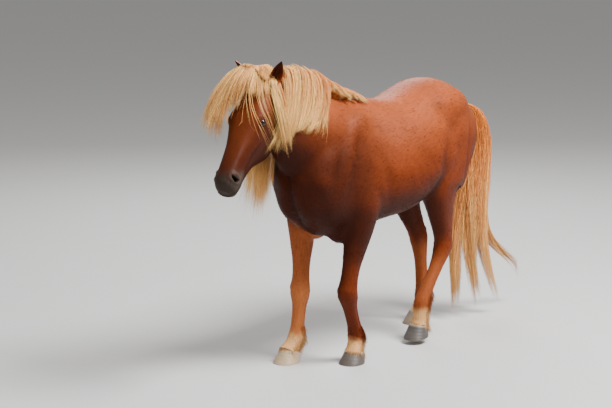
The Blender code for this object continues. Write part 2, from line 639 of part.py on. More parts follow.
def largest_shell(item):
    """Keeps only the closed surface that has the most faces."""
    made = bmesh.new()
    made.from_mesh(item.data)
    bmesh.ops.dissolve_degenerate(made, edges=made.edges, dist=SLIVER)
    if not all(e.is_manifold for e in made.edges):
        made.clear()
        made.from_mesh(item.data)
    bmesh.ops.triangulate(made, faces=made.faces)
    left, shells = set(made.faces), []
    while left:
        found, rim = set(), [left.pop()]
        while rim:
            face = rim.pop()
            if face in found:
                continue
            found.add(face)
            edges = [e for e in face.edges if len(e.link_faces) == 2]
            rim += [other for e in edges for other in e.link_faces if other not in found]
        left -= found
        shells.append(found)
    shells.sort(key=len)
    for shell in shells[:-1]:
        bmesh.ops.delete(made, geom=list(shell), context="FACES")
    made.to_mesh(item.data)
    made.free()
    return item


def copied(item, name, grow=0.0):
    """A second mesh like the first, its surface moved outward."""
    mesh = item.data.copy()
    if grow:
        put(mesh, coordinates(mesh) + grow * normals(mesh))
    return place(name, mesh)


def hull(item, name, grow):
    """The convex body round an item, larger than it by the given growth."""
    made = bmesh.new()
    for point in coordinates(item.data):
        made.verts.new(point)
    found = bmesh.ops.convex_hull(made, input=made.verts)
    bmesh.ops.delete(made, geom=[x for x in found["geom_interior"] if isinstance(x, bmesh.types.BMVert)], context="VERTS")
    mesh = bpy.data.meshes.new(name)
    made.to_mesh(mesh)
    made.free()
    around = outward(place(name, mesh))
    put(around.data, coordinates(around.data) + normals(around.data) * grow)
    return around


def prism(outline, low, high, grow=0.0):
    """A block with an outline in x and z, from low to high in y."""
    points = np.array(outline)
    ahead = np.roll(points, -1, 0) - points
    out = np.stack([ahead[:, 1], -ahead[:, 0]], 1) / np.linalg.norm(ahead, axis=1)[:, None]
    if np.cross(ahead, np.roll(ahead, -1, 0)).sum() < 0:
        out = -out
    before = np.roll(out, 1, 0)
    corner = points + grow * (out + before) / (1 + (out * before).sum(1))[:, None]
    rings = np.zeros((2, len(points), 3))
    rings[..., 0], rings[..., 2] = corner[:, 0], corner[:, 1]
    rings[0, :, 1], rings[1, :, 1] = low - grow, high + grow
    return outward(place("region", mesh_from("region", *skin_rings(rings))))


def outward(item):
    """Turns the faces of a closed mesh outward."""
    made = bmesh.new()
    made.from_mesh(item.data)
    bmesh.ops.recalc_face_normals(made, faces=made.faces)
    made.to_mesh(item.data)
    made.free()
    return item


def half_space(point, way, grow=0.0, size=3.0):
    """A large block whose one face lies in a plane and that reaches the given way."""
    way = Vector(way).normalized()
    made = bmesh.new()
    bmesh.ops.create_cube(made, size=1.0)
    turn = way.to_track_quat("Z", "Y").to_matrix().to_4x4()
    middle = Vector(point) + way * (size / 2 - grow)
    size_matrix = Matrix.Diagonal((size, size, size, 1.0))
    bmesh.ops.transform(made, matrix=Matrix.Translation(middle) @ turn @ size_matrix, verts=made.verts)
    mesh = bpy.data.meshes.new("block")
    made.to_mesh(mesh)
    made.free()
    return place("block", mesh)


def split(item, name, region):
    """Takes a region out of a mesh as a new one, with the gap between them. Region makes the block, grown or not."""
    taken = boolean(copied(item, name), region(0.0), "INTERSECT")
    boolean(item, region(GAP))
    return largest_shell(taken)


def hoof(name):
    rings = []
    for toe_height, heel_height, front, back, half in HOOF:
        angle = np.arange(26) / 26 * 2 * math.pi
        c, s = np.cos(angle), np.sin(angle)
        middle, reach = (front + back) / 2, (back - front) / 2
        # The heel side is squarer than the toe.
        x = middle + reach * np.sign(c) * np.abs(c) ** np.where(c > 0, 0.62, 0.95)
        y = half * np.sign(s) * np.abs(s) ** np.where(c > 0, 0.80, 0.95)
        share = (x - front) / (back - front)
        rings.append(np.stack([x, y, toe_height + (heel_height - toe_height) * share], 1))
    points, faces = skin_rings(np.array(rings))
    item = outward(place(name, mesh_from(name, points, faces)))
    item.data.transform(hoof_matrix(name_of_leg(name)))
    boolean(item, half_space((0, 0, 0), (0, 0, -1), size=3.0))
    return item


def name_of_leg(hoof_name):
    return next(leg_name for leg_name, name, *_ in HOOVES if name == hoof_name)


def hoof_block(leg_name):
    """The space a hoof takes under its leg: everything below the coronet."""
    place_at = hoof_matrix(leg_name)
    toe = Vector((HOOF[-1][2], 0.0, HOOF[-1][0]))
    heel = Vector((HOOF[-1][3], 0.0, HOOF[-1][1]))
    side = Vector((0.0, 1.0, 0.0))
    down = (heel - toe).cross(side).normalized()
    if down.z > 0:
        down = -down
    return half_space(place_at @ ((toe + heel) / 2), place_at.to_3x3() @ down, grow=GAP, size=0.30)


def eyeball(side, grow=0.0, fine=3):
    centre = head_point(EYE[0], EYE[1], side * EYE[2])
    item = place("eyeball", mesh_from("eyeball", *ball(centre, (EYE_RADIUS + grow,) * 3, fine=fine)))
    return item


def nostril(side):
    """A pocket that opens outward and forward, and narrows toward its upper end."""
    poll, down_axis, out_axis, right_axis = head_axes()
    at = np.linspace(0, 1, 9)
    centres = np.array([
        head_point(NOSTRIL[0] + 0.003 * t, NOSTRIL[1] + 0.020 - 0.046 * t, side * (NOSTRIL[2] + 0.004 * t + 0.003))
        for t in at
    ])
    reach = 0.0045 + 0.0075 * np.sin(np.pi * (0.15 + 0.80 * at))
    rings = []
    for centre, radius in zip(centres, reach):
        angle = np.arange(10) / 10 * 2 * math.pi
        rings.append(
            centre + radius * np.cos(angle)[:, None] * down_axis * 0.95 + 1.25 * radius * np.sin(angle)[:, None] * right_axis
        )
    return outward(place("nostril", mesh_from("nostril", *skin_rings(np.array(rings)))))


def mouth():
    """A thin wedge round the front of the muzzle, between the lips, ending at the corners of the mouth."""
    poll, down_axis, out_axis, right_axis = head_axes()
    inner, outer = [], []
    angles = np.linspace(-1, 1, 23)
    for share in angles:
        back = abs(share) ** 1.6
        u = 0.604 - 0.112 * back
        w = 0.062 * np.sign(share) * min(1.0, abs(share) * 2.4) ** 0.75
        v = -0.0965 - 0.004 * back - 0.006 * (1 - back)
        outer.append((u + 0.012, v, w * 1.35))
        inner.append((u - 0.024 + 0.006 * back, v, w * 0.62))
    outer, inner = np.array(outer), np.array(inner)
    half = 0.0022 - 0.0008 * np.abs(angles) ** 2
    rings = []
    for k in range(len(angles)):
        rings.append([
            head_point(*outer[k]) + half[k] * 1.3 * out_axis,
            head_point(*inner[k]) + 0.0004 * out_axis,
            head_point(*inner[k]) - 0.0004 * out_axis,
            head_point(*outer[k]) - half[k] * 1.3 * out_axis,
        ])
    return outward(place("mouth", mesh_from("mouth", *skin_rings(np.array(rings)))))


def ear(side, name, grow=0.0):
    """A cupped leaf on the poll, open outward and forward."""
    poll, down_axis, out_axis, right_axis = head_axes()
    up = np.array([0.0, 0.0, 1.0]) * 0.86 + right_axis * side * (0.86 if side > 0 else 0.36) - down_axis * 0.10
    up /= np.linalg.norm(up)
    face = right_axis * side * 0.75 + np.array([-0.70, -0.10, 0.0])
    face -= up * (face @ up)
    face /= np.linalg.norm(face)
    across = np.cross(up, face)
    base = head_point(EAR_BASE[0], EAR_BASE[1], side * EAR_BASE[2]) - 0.022 * up
    at = np.linspace(0, 1, 9)
    half, depth, wall = spline(EAR, at).T
    rings = []
    for t, w, d, k in zip(at, half, depth, wall):
        spread = np.linspace(-1, 1, 7)
        centre = base + up * t * (EAR_LENGTH + 0.022) - face * 0.010 * np.sin(np.pi * t)
        curve = np.cos(np.pi / 2 * spread)
        back = centre + across * (w * spread)[:, None] - face * (d * curve)[:, None] + face * (d * 0.4)
        spread, curve = spread[1:-1][::-1], curve[1:-1][::-1]
        inner_depth = np.maximum(d * curve - k, -k * 0.2)
        front = centre + across * (w * 0.92 * spread)[:, None] - face * inner_depth[:, None] + face * (d * 0.4)
        rings.append(np.vstack([back, front]))
    return outward(place(name, mesh_from(name, *skin_rings(np.array(rings)))))


def lock_mesh(path, facing, width, thickness):
    """A flat tapered lock along a path; facing is the way its broad side looks at every station."""
    path, facing = np.asarray(path), np.asarray(facing)
    along = np.gradient(path, axis=0)
    along /= np.linalg.norm(along, axis=1)[:, None] + 1e-9
    across = np.cross(along, facing)
    across /= np.linalg.norm(across, axis=1)[:, None] + 1e-9
    face = np.cross(across, along)
    at = np.linspace(0, 1, len(path))
    taper = np.interp(at, *np.array(LOCK_TAPER).T)[:, None]
    wide, thick = across * width / 2 * taper, face * thickness / 2 * taper**0.6
    rings = np.stack([path + wide, path + thick, path - wide, path - thick], 1)
    return outward(place("lock", mesh_from("lock", *skin_rings(rings))))


def sheet(columns, across, stations):
    """A path on a sheet of hair: cubic curves down each given line, then a cubic curve from line to line."""
    t = np.linspace(0, 1, stations)
    grid = np.array([spline(np.column_stack([np.linspace(0, 1, len(line)), line]), t) for line in columns])
    rows = np.column_stack([np.linspace(0, 1, len(columns)), grid.reshape(len(columns), -1)])
    return spline(rows, np.array([across])).reshape(stations, 3)


def laid(surface, path, layer, clearance, reach):
    """Draws a path toward the skin by its layer, starts it just under the skin and cuts it to its reach."""
    stations = len(path)
    at = np.linspace(0, reach, stations) * (stations - 1)
    path = np.stack([np.interp(at, np.arange(stations), path[:, k]) for k in range(3)], 1)
    moved, facing = [], []
    for point, t in zip(path, np.linspace(0, 1, stations)):
        near, normal, _, _ = surface.find_nearest(Vector(point))
        away = Vector(point) - near
        height = away.dot(normal)
        share = layer * np.interp(t, (0, 0.15, 1), (0.0, 1.0, 1.0))
        least = clearance * np.interp(t, (0, 0.15, 1), (-0.4, 0.8, 1.0))
        moved.append(near + normal * max(abs(height) * share, least) + (away - normal * height) * share)
        facing.append(normal)
    return moved, facing


def tail_row(at):
    rows = np.array(TAIL)
    return spline(np.column_stack([np.arange(len(rows)), rows]), np.asarray(at, float))


def tail_hair(rng):
    """The dock and the tail's locks, which leave it all along and gather to their ends, some of them blown back."""
    at = np.linspace(0, DOCK_END, 12)
    rows = tail_row(at)
    taper = np.interp(at, (0, 1.2, DOCK_END), (0.9, 0.62, 0.30))
    dock = sweep(rows[:, :3], *(rows[:, 3:4] * taper[:, None] * np.ones(2)).T,
                 *(rows[:, 4:5] * taper[:, None] * np.ones(2)).T, np.full(12, 2.0), np.full(12, 2.0), sides=14)
    pieces = [outward(place("tail", mesh_from("tail", *dock)))]
    count = 14
    for k in range(count):
        angle = 2 * math.pi * (k * 0.382 + 0.05 * rng.uniform(-1, 1))
        start = 0.9 + 3.0 * (k / count) ** 1.1
        stop = 9.80 - 2.0 * rng.random() ** 1.6
        stations = np.linspace(start, stop, 7)
        rows = tail_row(stations)
        share = np.linspace(0, 1, 7)
        reach = np.interp(share, (0, 0.15, 0.5, 1.0), (0.30, 0.80, 0.90, 0.72 + 0.22 * rng.random()))
        sway = 0.22 * np.sin(share * math.pi * 1.3 + rng.uniform(0, 6)) * share
        x = rows[:, 0] + rows[:, 3] * reach * np.cos(angle + sway)
        y = rows[:, 1] + rows[:, 4] * reach * np.sin(angle + sway)
        z = rows[:, 2]
        if k in TAIL_BLOWN:
            away = np.clip(share - 0.58, 0, 1) ** 1.4
            x, z = x + TAIL_BLOWN[k] * away, z + 0.40 * away
        facing = np.stack([np.cos(angle + sway), np.sin(angle + sway), np.zeros(7)], 1)
        width, thick = LOCK_SIZES["tail"]
        path = np.stack([x, y, np.maximum(z, 0.02)], 1)
        pieces.append(lock_mesh(path, facing, width * rng.uniform(0.80, 1.2), thick * rng.uniform(0.9, 1.2)))
    return union(pieces)


def crest_line(at):
    """Points along the crest of the neck, from the withers to the poll."""
    x, y, z, crest, _, _ = spline(NECK, at).T
    centres = np.stack([x, y, z], 1)
    along = np.gradient(centres, axis=0)
    along /= np.linalg.norm(along, axis=1)[:, None]
    side = np.array([0.0, 1.0, 0.0]) - along * along[:, 1:2]
    side /= np.linalg.norm(side, axis=1)[:, None]
    return centres + np.cross(side, along) * crest[:, None], along


def neck_middle(x):
    """How far to the right the middle of the neck lies at each x."""
    rows = np.array(NECK)
    return np.interp(x, rows[::-1, 1], rows[::-1, 2])


def mirrored(columns, drop):
    """The same lines on the other side of the neck, hanging lower by the drop."""
    lines = np.array(columns)
    lines[..., 1] = 2 * neck_middle(lines[..., 0]) - lines[..., 1]
    lines[..., 2] -= np.array(drop)[:, None] * np.linspace(0, 1, lines.shape[1])[None, :] ** 1.2
    return lines


def mane_hair(rng, surface):
    """A core along the crest, with long locks on both sides of the upper neck and a short fringe to the withers."""
    at = np.linspace(0.06, 0.97, 16)
    crest, along = crest_line(at)
    reach = np.interp(at, (0, 0.5, 1), (0.014, 0.022, 0.028))
    core = sweep(crest, reach, reach, reach * 1.5, reach * 1.5, np.full(16, 2.0), np.full(16, 2.0), sides=10)
    pieces = [outward(place("mane", mesh_from("mane", *core)))]
    right = mirrored(MANE, RIGHT_DROP)
    for lines, count in ((np.array(MANE), 9), (right, 7)):
        for k in range(count):
            across = np.clip((k + 0.5 + 0.25 * rng.uniform(-1, 1)) / count, 0, 1)
            path = sheet(lines, across, 7)
            path, facing = laid(surface, path, 0.90 + 0.10 * (k % 2), 0.010, 1.0 - 0.22 * rng.random())
            width, thick = LOCK_SIZES["mane"]
            pieces.append(lock_mesh(path, facing, width * rng.uniform(0.85, 1.2), thick * rng.uniform(0.9, 1.2)))
    for side in (1, -1):
        for k in range(4):
            across = (k + 0.5 + 0.25 * rng.uniform(-1, 1)) / 4
            path = sheet(np.array(FRINGE) * np.array([1.0, side, 1.0]), across, 5)
            path, facing = laid(surface, path, 0.92, 0.008, 1.0 - 0.12 * rng.random())
            width, thick = LOCK_SIZES["crest"]
            pieces.append(lock_mesh(path, facing, width * rng.uniform(0.85, 1.2), thick * rng.uniform(0.9, 1.2)))
    return union(pieces)


def forelock_hair(rng, surface):
    """A thick forelock that leaves the poll between the ears, parts over the face and falls down both cheeks."""
    core = ball(head_point(-0.030, 0.020, 0.0), (0.085, 0.048, 0.046), turn=0.0, fine=2)
    pieces = [outward(place("forelock", mesh_from("forelock", *core)))]
    poll, down_axis, out_axis, right_axis = head_axes()
    axes = np.stack([down_axis, out_axis, right_axis])
    lines = poll + np.array(FORELOCK) @ axes
    count = 13
    for k in range(count):
        across = (k + 0.5 + 0.2 * rng.uniform(-1, 1)) / count
        path = sheet(lines, across, 7)
        in_gap = abs(across - 0.47) < 0.05
        reach = 0.60 if in_gap else 1.0 - 0.24 * rng.random()
        path, facing = laid(surface, path, 0.90 + 0.10 * (k % 2), 0.010, reach)
        width, thick = LOCK_SIZES["forelock"]
        pieces.append(lock_mesh(path, facing, width * rng.uniform(0.80, 1.15), thick * rng.uniform(0.9, 1.2)))
    return union(pieces)


def finish(item, name, slot, parent, round_angle=50.0):
    item.name = item.data.name = name
    item.data.materials.clear()
    item.data.materials.append(slot)
    item.data.shade_smooth()
    item.data.set_sharp_from_angle(angle=math.radians(round_angle))
    item.parent = parent
    return item


def main():
    clear_scene()
    coat = material("coat", (0.30, 0.085, 0.03), 0.5)
    hair = material("hair", (0.74, 0.56, 0.34), 0.55)
    horn = material("horn", (0.10, 0.095, 0.09), 0.4)
    cornea = material("cornea", (0.012, 0.008, 0.006), 0.08)

    pieces = [trunk(), neck(), head(), *muscles()]
    pieces += [leg(name) for name in LEG_JOINTS]
    body = place("body", mesh_from("body", *joined(pieces)))
    fuse = body.modifiers.new("Fuse", "REMESH")
    fuse.mode = "VOXEL"
    fuse.voxel_size = VOXEL
    applied(body)
    relax(body.data, 26)
    relax(body.data, 80, trunk_share)
    points = coordinates(body.data)
    put(body.data, points + normals(body.data) * head_relief(points)[:, None])
    decimated(body, BODY_TRIANGLES, plain_weight(coordinates(body.data)))
    largest_shell(body)
    around = copied(body, "around", SKIN_GAP)
    for side in (-1, 1):
        boolean(body, eyeball(side, GAP))
        boolean(body, nostril(side))
    boolean(body, mouth())
    largest_shell(body)
    surface = BVHTree.FromPolygons(
        coordinates(body.data).tolist(), [tuple(face.vertices) for face in body.data.polygons]
    )

    nodes = {}
    for leg_name, hoof_name, *_ in HOOVES:
        outline, low, high = LEG_REGIONS[leg_name]
        nodes[leg_name] = split(body, leg_name, lambda grow: prism(outline, low, high, grow))
        boolean(nodes[leg_name], hoof_block(leg_name))
        nodes[hoof_name] = hoof(hoof_name)
    nodes["neck"] = split(body, "neck", lambda grow: half_space(*NECK_CUT, grow=grow))
    nodes["head"] = split(nodes["neck"], "head", lambda grow: half_space(*HEAD_CUT, grow=grow))
    nodes["torso"] = body
    for side, word in ((-1, "left"), (1, "right")):
        nodes["eye_" + word] = eyeball(side)
        nodes["ear_" + word] = boolean(ear(side, "ear_" + word), copied(around, "skin"), solver="MANIFOLD")

    rng = np.random.default_rng(7)
    locks = {
        "tail": tail_hair(rng),
        "mane": mane_hair(rng, surface),
        "forelock": forelock_hair(rng, surface),
    }
    boolean(locks["forelock"], half_space(*HAIR_PART), solver="MANIFOLD")
    boolean(locks["mane"], half_space(HAIR_PART[0], -Vector(HAIR_PART[1]), GAP), solver="MANIFOLD")
    for name, item in locks.items():
        boolean(item, copied(around, "skin"), solver="MANIFOLD")
        for under in ("torso",) if name == "tail" else ("torso", "neck", "head"):
            boolean(item, copied(nodes[under], "skin"), solver="MANIFOLD")
        if name != "tail":
            for side, word in ((-1, "left"), (1, "right")):
                boolean(item, eyeball(side, SKIN_GAP), solver="MANIFOLD")
                boolean(item, hull(nodes["ear_" + word], "ear", 0.0010), solver="MANIFOLD")
        nodes[name] = item
    bpy.data.objects.remove(around, do_unlink=True)

    home = bpy.data.collections.new("icelandic_horse")
    bpy.context.scene.collection.children.link(home)
    origin = bpy.data.objects.new("origin", None)
    origin.location = (-BOX_MIDDLE[0], -BOX_MIDDLE[1], 0.0)
    home.objects.link(origin)
    for name, item in nodes.items():
        slot = hair if name in locks else horn if name.startswith("hoof") else coat
        slot = cornea if name.startswith("eye") else slot
        finish(largest_shell(item), name, slot, origin)
        bpy.context.scene.collection.objects.unlink(item)
        home.objects.link(item)


main()
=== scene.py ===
"""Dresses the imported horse.

It lays one skin over the flesh and adds coat tufts, mane, forelock, tail, eyes, hooves and a stage.
"""

import math

import bmesh
import bpy
import numpy as np
from mathutils import Matrix, Vector
from mathutils.bvhtree import BVHTree


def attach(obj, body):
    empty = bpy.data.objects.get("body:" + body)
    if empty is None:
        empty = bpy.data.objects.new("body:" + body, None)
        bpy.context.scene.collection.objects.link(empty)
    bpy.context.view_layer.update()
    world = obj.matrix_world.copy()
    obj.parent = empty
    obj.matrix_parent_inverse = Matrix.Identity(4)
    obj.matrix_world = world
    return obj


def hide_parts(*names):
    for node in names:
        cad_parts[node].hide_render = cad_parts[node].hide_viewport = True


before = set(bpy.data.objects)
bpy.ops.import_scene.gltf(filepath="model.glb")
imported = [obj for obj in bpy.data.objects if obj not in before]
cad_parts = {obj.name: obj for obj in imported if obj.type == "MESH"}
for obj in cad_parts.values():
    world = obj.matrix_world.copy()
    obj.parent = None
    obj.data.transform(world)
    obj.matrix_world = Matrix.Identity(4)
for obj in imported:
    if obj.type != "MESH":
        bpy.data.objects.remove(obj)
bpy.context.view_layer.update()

bl_info = {
    "name": "Icelandic Horse Looks",
    "version": (1, 0, 0),
    "blender": (4, 5, 0),
    "location": "View3D > Sidebar > Horse",
    "description": "Builds the skin, coat, mane, tail, eyes and hooves of a life-size Icelandic horse",
    "category": "Mesh",
}

TURN = 2 * math.pi
# Added to a length before dividing by it, so that a vector of length zero stays finite.
TINY = 1e-9

# Where the middle of the model's box lies in the horse's own frame, whose zero is under the saddle.
BOX_MIDDLE = (-0.06, 0.0)
SHIFT = np.array([-BOX_MIDDLE[0], -BOX_MIDDLE[1], 0.0])

# Trunk sections: station x, top, keel and widest heights, half width, roundness above and below.
TRUNK = (
    (-0.748, 1.085, 0.945, 1.010, 0.055, 2.0, 2.0),
    (-0.725, 1.150, 0.865, 1.005, 0.120, 2.0, 2.0),
    (-0.665, 1.220, 0.775, 0.990, 0.178, 2.2, 2.2),
    (-0.580, 1.275, 0.703, 0.970, 0.205, 2.2, 2.3),
    (-0.460, 1.330, 0.668, 0.950, 0.216, 2.0, 2.3),
    (-0.320, 1.374, 0.674, 0.950, 0.228, 1.7, 2.2),
    (-0.200, 1.382, 0.692, 0.960, 0.248, 1.6, 2.2),
    (-0.080, 1.360, 0.708, 0.980, 0.272, 1.8, 2.2),
    (0.060, 1.358, 0.718, 0.990, 0.288, 2.0, 2.2),
    (0.180, 1.392, 0.760, 1.000, 0.288, 2.1, 2.2),
    (0.300, 1.428, 0.822, 1.030, 0.268, 2.2, 2.2),
    (0.420, 1.430, 0.880, 1.060, 0.246, 2.2, 2.2),
    (0.540, 1.396, 0.910, 1.080, 0.224, 2.2, 2.2),
    (0.630, 1.340, 0.945, 1.080, 0.190, 2.1, 2.2),
    (0.690, 1.270, 0.985, 1.090, 0.145, 2.0, 2.0),
    (0.718, 1.205, 1.030, 1.110, 0.080, 2.0, 2.0),
)
# Neck sections: share of the way, centre x, y and z, reach to the crest and to the throat, half width.
NECK = (
    (0.00, -0.400, 0.000, 1.060, 0.315, 0.260, 0.165),
    (0.22, -0.520, 0.000, 1.135, 0.290, 0.250, 0.172),
    (0.42, -0.645, -0.002, 1.215, 0.245, 0.215, 0.145),
    (0.60, -0.755, -0.008, 1.285, 0.208, 0.180, 0.118),
    (0.76, -0.855, -0.018, 1.345, 0.172, 0.150, 0.098),
    (0.90, -0.940, -0.030, 1.395, 0.138, 0.125, 0.085),
    (1.00, -1.000, -0.040, 1.425, 0.108, 0.105, 0.072),
)

# The head's own frame: the poll, how far it turns to the horse's left and how steeply the face points down,
# in degrees.
POLL = (-1.022, -0.039, 1.513)
HEAD_TURN = 11.6
HEAD_PITCH = 48.0
# Ahead of this x everything high up is head, and ahead of the second one it is face.
HEAD_X = -0.9
FACE_X = -0.93
# Head sections: distance from the poll, face line, jaw line, widest line, half width, roundness of face
# and jaw.
HEAD = (
    (-0.040, -0.025, -0.130, -0.075, 0.050, 2.0, 2.0),
    (0.000, 0.000, -0.170, -0.070, 0.074, 2.2, 2.1),
    (0.060, 0.014, -0.222, -0.062, 0.090, 2.5, 2.1),
    (0.125, 0.020, -0.274, -0.058, 0.098, 2.7, 2.2),
    (0.190, 0.016, -0.294, -0.058, 0.099, 2.8, 2.3),
    (0.250, 0.008, -0.285, -0.066, 0.090, 2.7, 2.4),
    (0.310, 0.002, -0.244, -0.072, 0.077, 2.6, 2.4),
    (0.370, -0.002, -0.199, -0.076, 0.065, 2.6, 2.4),
    (0.430, -0.004, -0.178, -0.078, 0.059, 2.5, 2.4),
    (0.490, -0.006, -0.165, -0.078, 0.060, 2.4, 2.4),
    (0.540, -0.014, -0.157, -0.080, 0.060, 2.4, 2.3),
    (0.572, -0.030, -0.146, -0.085, 0.052, 2.3, 2.2),
    (0.592, -0.060, -0.118, -0.088, 0.031, 2.0, 2.0),
)
# Middles of an eye and a nostril: distances down the face, out of it and to the side.
EYE = (0.205, -0.030, 0.083)
EYE_RADIUS = 0.0215
NOSTRIL = (0.522, -0.046, 0.050)
# More places with fine forms, along the lips, and how far round them the skin is made denser, twice.
LIPS = ((0.555, -0.100, 0.030), (0.515, -0.100, 0.050), (0.580, -0.095, 0.0))
FINE_REACHES = (0.052, 0.040)
# Forms of the head: height, place down the face and out of it, slant and its pivot, reach down and out.
# The hollow over the eye, cheek, crest of the face, hollow behind the crest, bridge of the nose.
HEAD_FORMS = (
    (-0.0060, 0.120, -0.012, 0.00, 0.000, 0.032, 0.018),
    (0.0080, 0.135, -0.165, 0.00, 0.000, 0.070, 0.060),
    (0.0034, 0.310, -0.080, 0.12, 0.310, 0.070, 0.009),
    (-0.0040, 0.360, -0.112, 0.00, 0.000, 0.060, 0.018),
    (0.0030, 0.420, -0.020, 0.00, 0.000, 0.060, 0.020),
)
LIP_FORMS = (
    (0.0035, 0.545, -0.098, 0.00, 0.000, 0.035, 0.010),
    (0.0030, 0.520, -0.122, 0.00, 0.000, 0.028, 0.012),
)
# Forms of the trunk: height, place in z and x, slant and its pivot, reach in z and x. First the groove behind
# the elbow, its muscle, the groove behind the shoulder blade, the blade, the groove before it and the breast.
FRONT_FORMS = (
    (-0.0075, 0.960, -0.235, -0.22, 1.05, 0.170, 0.026),
    (0.0050, 0.930, -0.315, -0.22, 1.05, 0.130, 0.060),
    (-0.0060, 1.100, -0.425, 0.42, 1.12, 0.150, 0.024),
    (0.0050, 1.080, -0.475, 0.42, 1.12, 0.160, 0.030),
    (-0.0065, 1.040, -0.555, 0.42, 1.12, 0.140, 0.030),
    (0.0050, 0.965, -0.655, 0.00, 0.00, 0.055, 0.045),
)
# Then the groove of the flank, the hollow before the hip, the thigh's front edge and the thigh line.
REAR_FORMS = (
    (-0.0085, 0.980, 0.215, 0.25, 0.95, 0.150, 0.036),
    (-0.0080, 1.180, 0.335, 0.00, 0.00, 0.045, 0.055),
    (0.0040, 0.970, 0.300, 0.30, 0.95, 0.150, 0.030),
    (-0.0070, 1.000, 0.500, 0.25, 1.02, 0.170, 0.018),
)

# Leg joints, from inside the trunk down to the top of the hoof.
LEG_JOINTS = {
    "foreleg_left": (
        (-0.430, -0.150, 0.960),
        (-0.362, -0.160, 0.800),
        (-0.462, -0.155, 0.392),
        (-0.380, -0.142, 0.155),
        (-0.402, -0.147, 0.055),
    ),
    "foreleg_right": (
        (-0.500, 0.150, 0.960),
        (-0.425, 0.176, 0.795),
        (-0.500, 0.132, 0.378),
        (-0.540, 0.130, 0.132),
        (-0.615, 0.128, 0.055),
    ),
    "hindleg_left": (
        (0.450, -0.115, 1.130),
        (0.285, -0.168, 0.860),
        (0.385, -0.150, 0.515),
        (0.205, -0.140, 0.225),
        (0.184, -0.140, 0.095),
    ),
    "hindleg_right": (
        (0.480, 0.115, 1.130),
        (0.375, 0.165, 0.855),
        (0.560, 0.150, 0.500),
        (0.590, 0.142, 0.160),
        (0.552, 0.142, 0.055),
    ),
}
# How high the pale sock reaches on each leg.
SOCKS = {"foreleg_left": 0.125, "foreleg_right": 0.150, "hindleg_left": 0.185, "hindleg_right": 0.130}
# Leg sections: joint number plus the share of the way to the next, reach forward, back, outward and inward.
FORELEG = (
    (0.00, 0.110, 0.110, 0.070, 0.070),
    (0.55, 0.115, 0.120, 0.084, 0.072),
    (1.00, 0.102, 0.100, 0.088, 0.068),
    (1.22, 0.088, 0.084, 0.080, 0.062),
    (1.45, 0.070, 0.066, 0.061, 0.055),
    (1.70, 0.052, 0.048, 0.046, 0.045),
    (1.88, 0.048, 0.045, 0.048, 0.047),
    (2.00, 0.053, 0.048, 0.054, 0.053),
    (2.13, 0.049, 0.053, 0.051, 0.050),
    (2.30, 0.037, 0.045, 0.041, 0.040),
    (2.55, 0.032, 0.040, 0.037, 0.037),
    (2.82, 0.033, 0.042, 0.038, 0.038),
    (3.00, 0.037, 0.048, 0.044, 0.044),
    (3.40, 0.034, 0.043, 0.040, 0.040),
    (3.75, 0.037, 0.042, 0.044, 0.044),
    (4.00, 0.047, 0.047, 0.050, 0.050),
)
HINDLEG = (
    (0.00, 0.190, 0.215, 0.118, 0.090),
    (0.40, 0.185, 0.230, 0.115, 0.095),
    (0.75, 0.145, 0.225, 0.104, 0.088),
    (1.00, 0.108, 0.188, 0.092, 0.080),
    (1.25, 0.088, 0.140, 0.078, 0.069),
    (1.50, 0.074, 0.103, 0.064, 0.057),
    (1.75, 0.061, 0.071, 0.052, 0.047),
    (1.92, 0.054, 0.062, 0.048, 0.046),
    (2.03, 0.054, 0.060, 0.050, 0.048),
    (2.18, 0.046, 0.051, 0.044, 0.043),
    (2.38, 0.035, 0.042, 0.037, 0.036),
    (2.62, 0.033, 0.039, 0.036, 0.036),
    (2.85, 0.034, 0.043, 0.038, 0.038),
    (3.00, 0.038, 0.047, 0.043, 0.043),
    (3.40, 0.035, 0.042, 0.040, 0.040),
    (3.75, 0.037, 0.042, 0.043, 0.043),
    (4.00, 0.047, 0.047, 0.049, 0.049),
)
# Muscle masses on both sides: centre (x, distance from the middle, z), radii, lean backward in degrees.
MUSCLES = (
    ((-0.425, 0.104, 1.110), (0.125, 0.080, 0.245), 38.0),
    ((-0.630, 0.112, 0.985), (0.090, 0.080, 0.105), 0.0),
    ((-0.370, 0.152, 0.935), (0.135, 0.078, 0.140), 30.0),
    ((-0.650, 0.068, 0.880), (0.075, 0.080, 0.120), -15.0),
    ((-0.430, 0.085, 0.725), (0.110, 0.060, 0.090), 0.0),
    ((0.385, 0.102, 1.262), (0.235, 0.127, 0.136), 0.0),
    ((0.258, 0.168, 1.212), (0.075, 0.056, 0.062), 0.0),
    ((0.580, 0.098, 1.060), (0.118, 0.100, 0.215), 17.0),
)
# The point of the hock: its way from the joint, how far behind it, its radii and lean backward in degrees.
HOCK_WAY = (1.0, 0.0, 0.35)
HOCK_BACK = 0.046
HOCK_RADII = (0.026, 0.023, 0.045)
HOCK_LEAN = 12.0
# The hamstrings of the left and right leg, from the seat to the gaskin: centre, radii, lean in degrees.
HAMSTRINGS = (
    ((0.462, -0.132, 0.862), (0.080, 0.066, 0.175), 41.0),
    ((0.550, 0.132, 0.845), (0.080, 0.064, 0.170), 30.0),
)
# Where the left thigh is relaxed once more, and how far round it.
LEFT_THIGH = (0.530, -0.140, 0.805)
THIGH_REACH = 0.075
# Rounds of relaxing: the whole skin, its smooth parts, the left thigh and the roots of the ears.
WHOLE_ROUNDS, SMOOTH_ROUNDS, THIGH_ROUNDS, EAR_ROUNDS = 26, 80, 160, 6

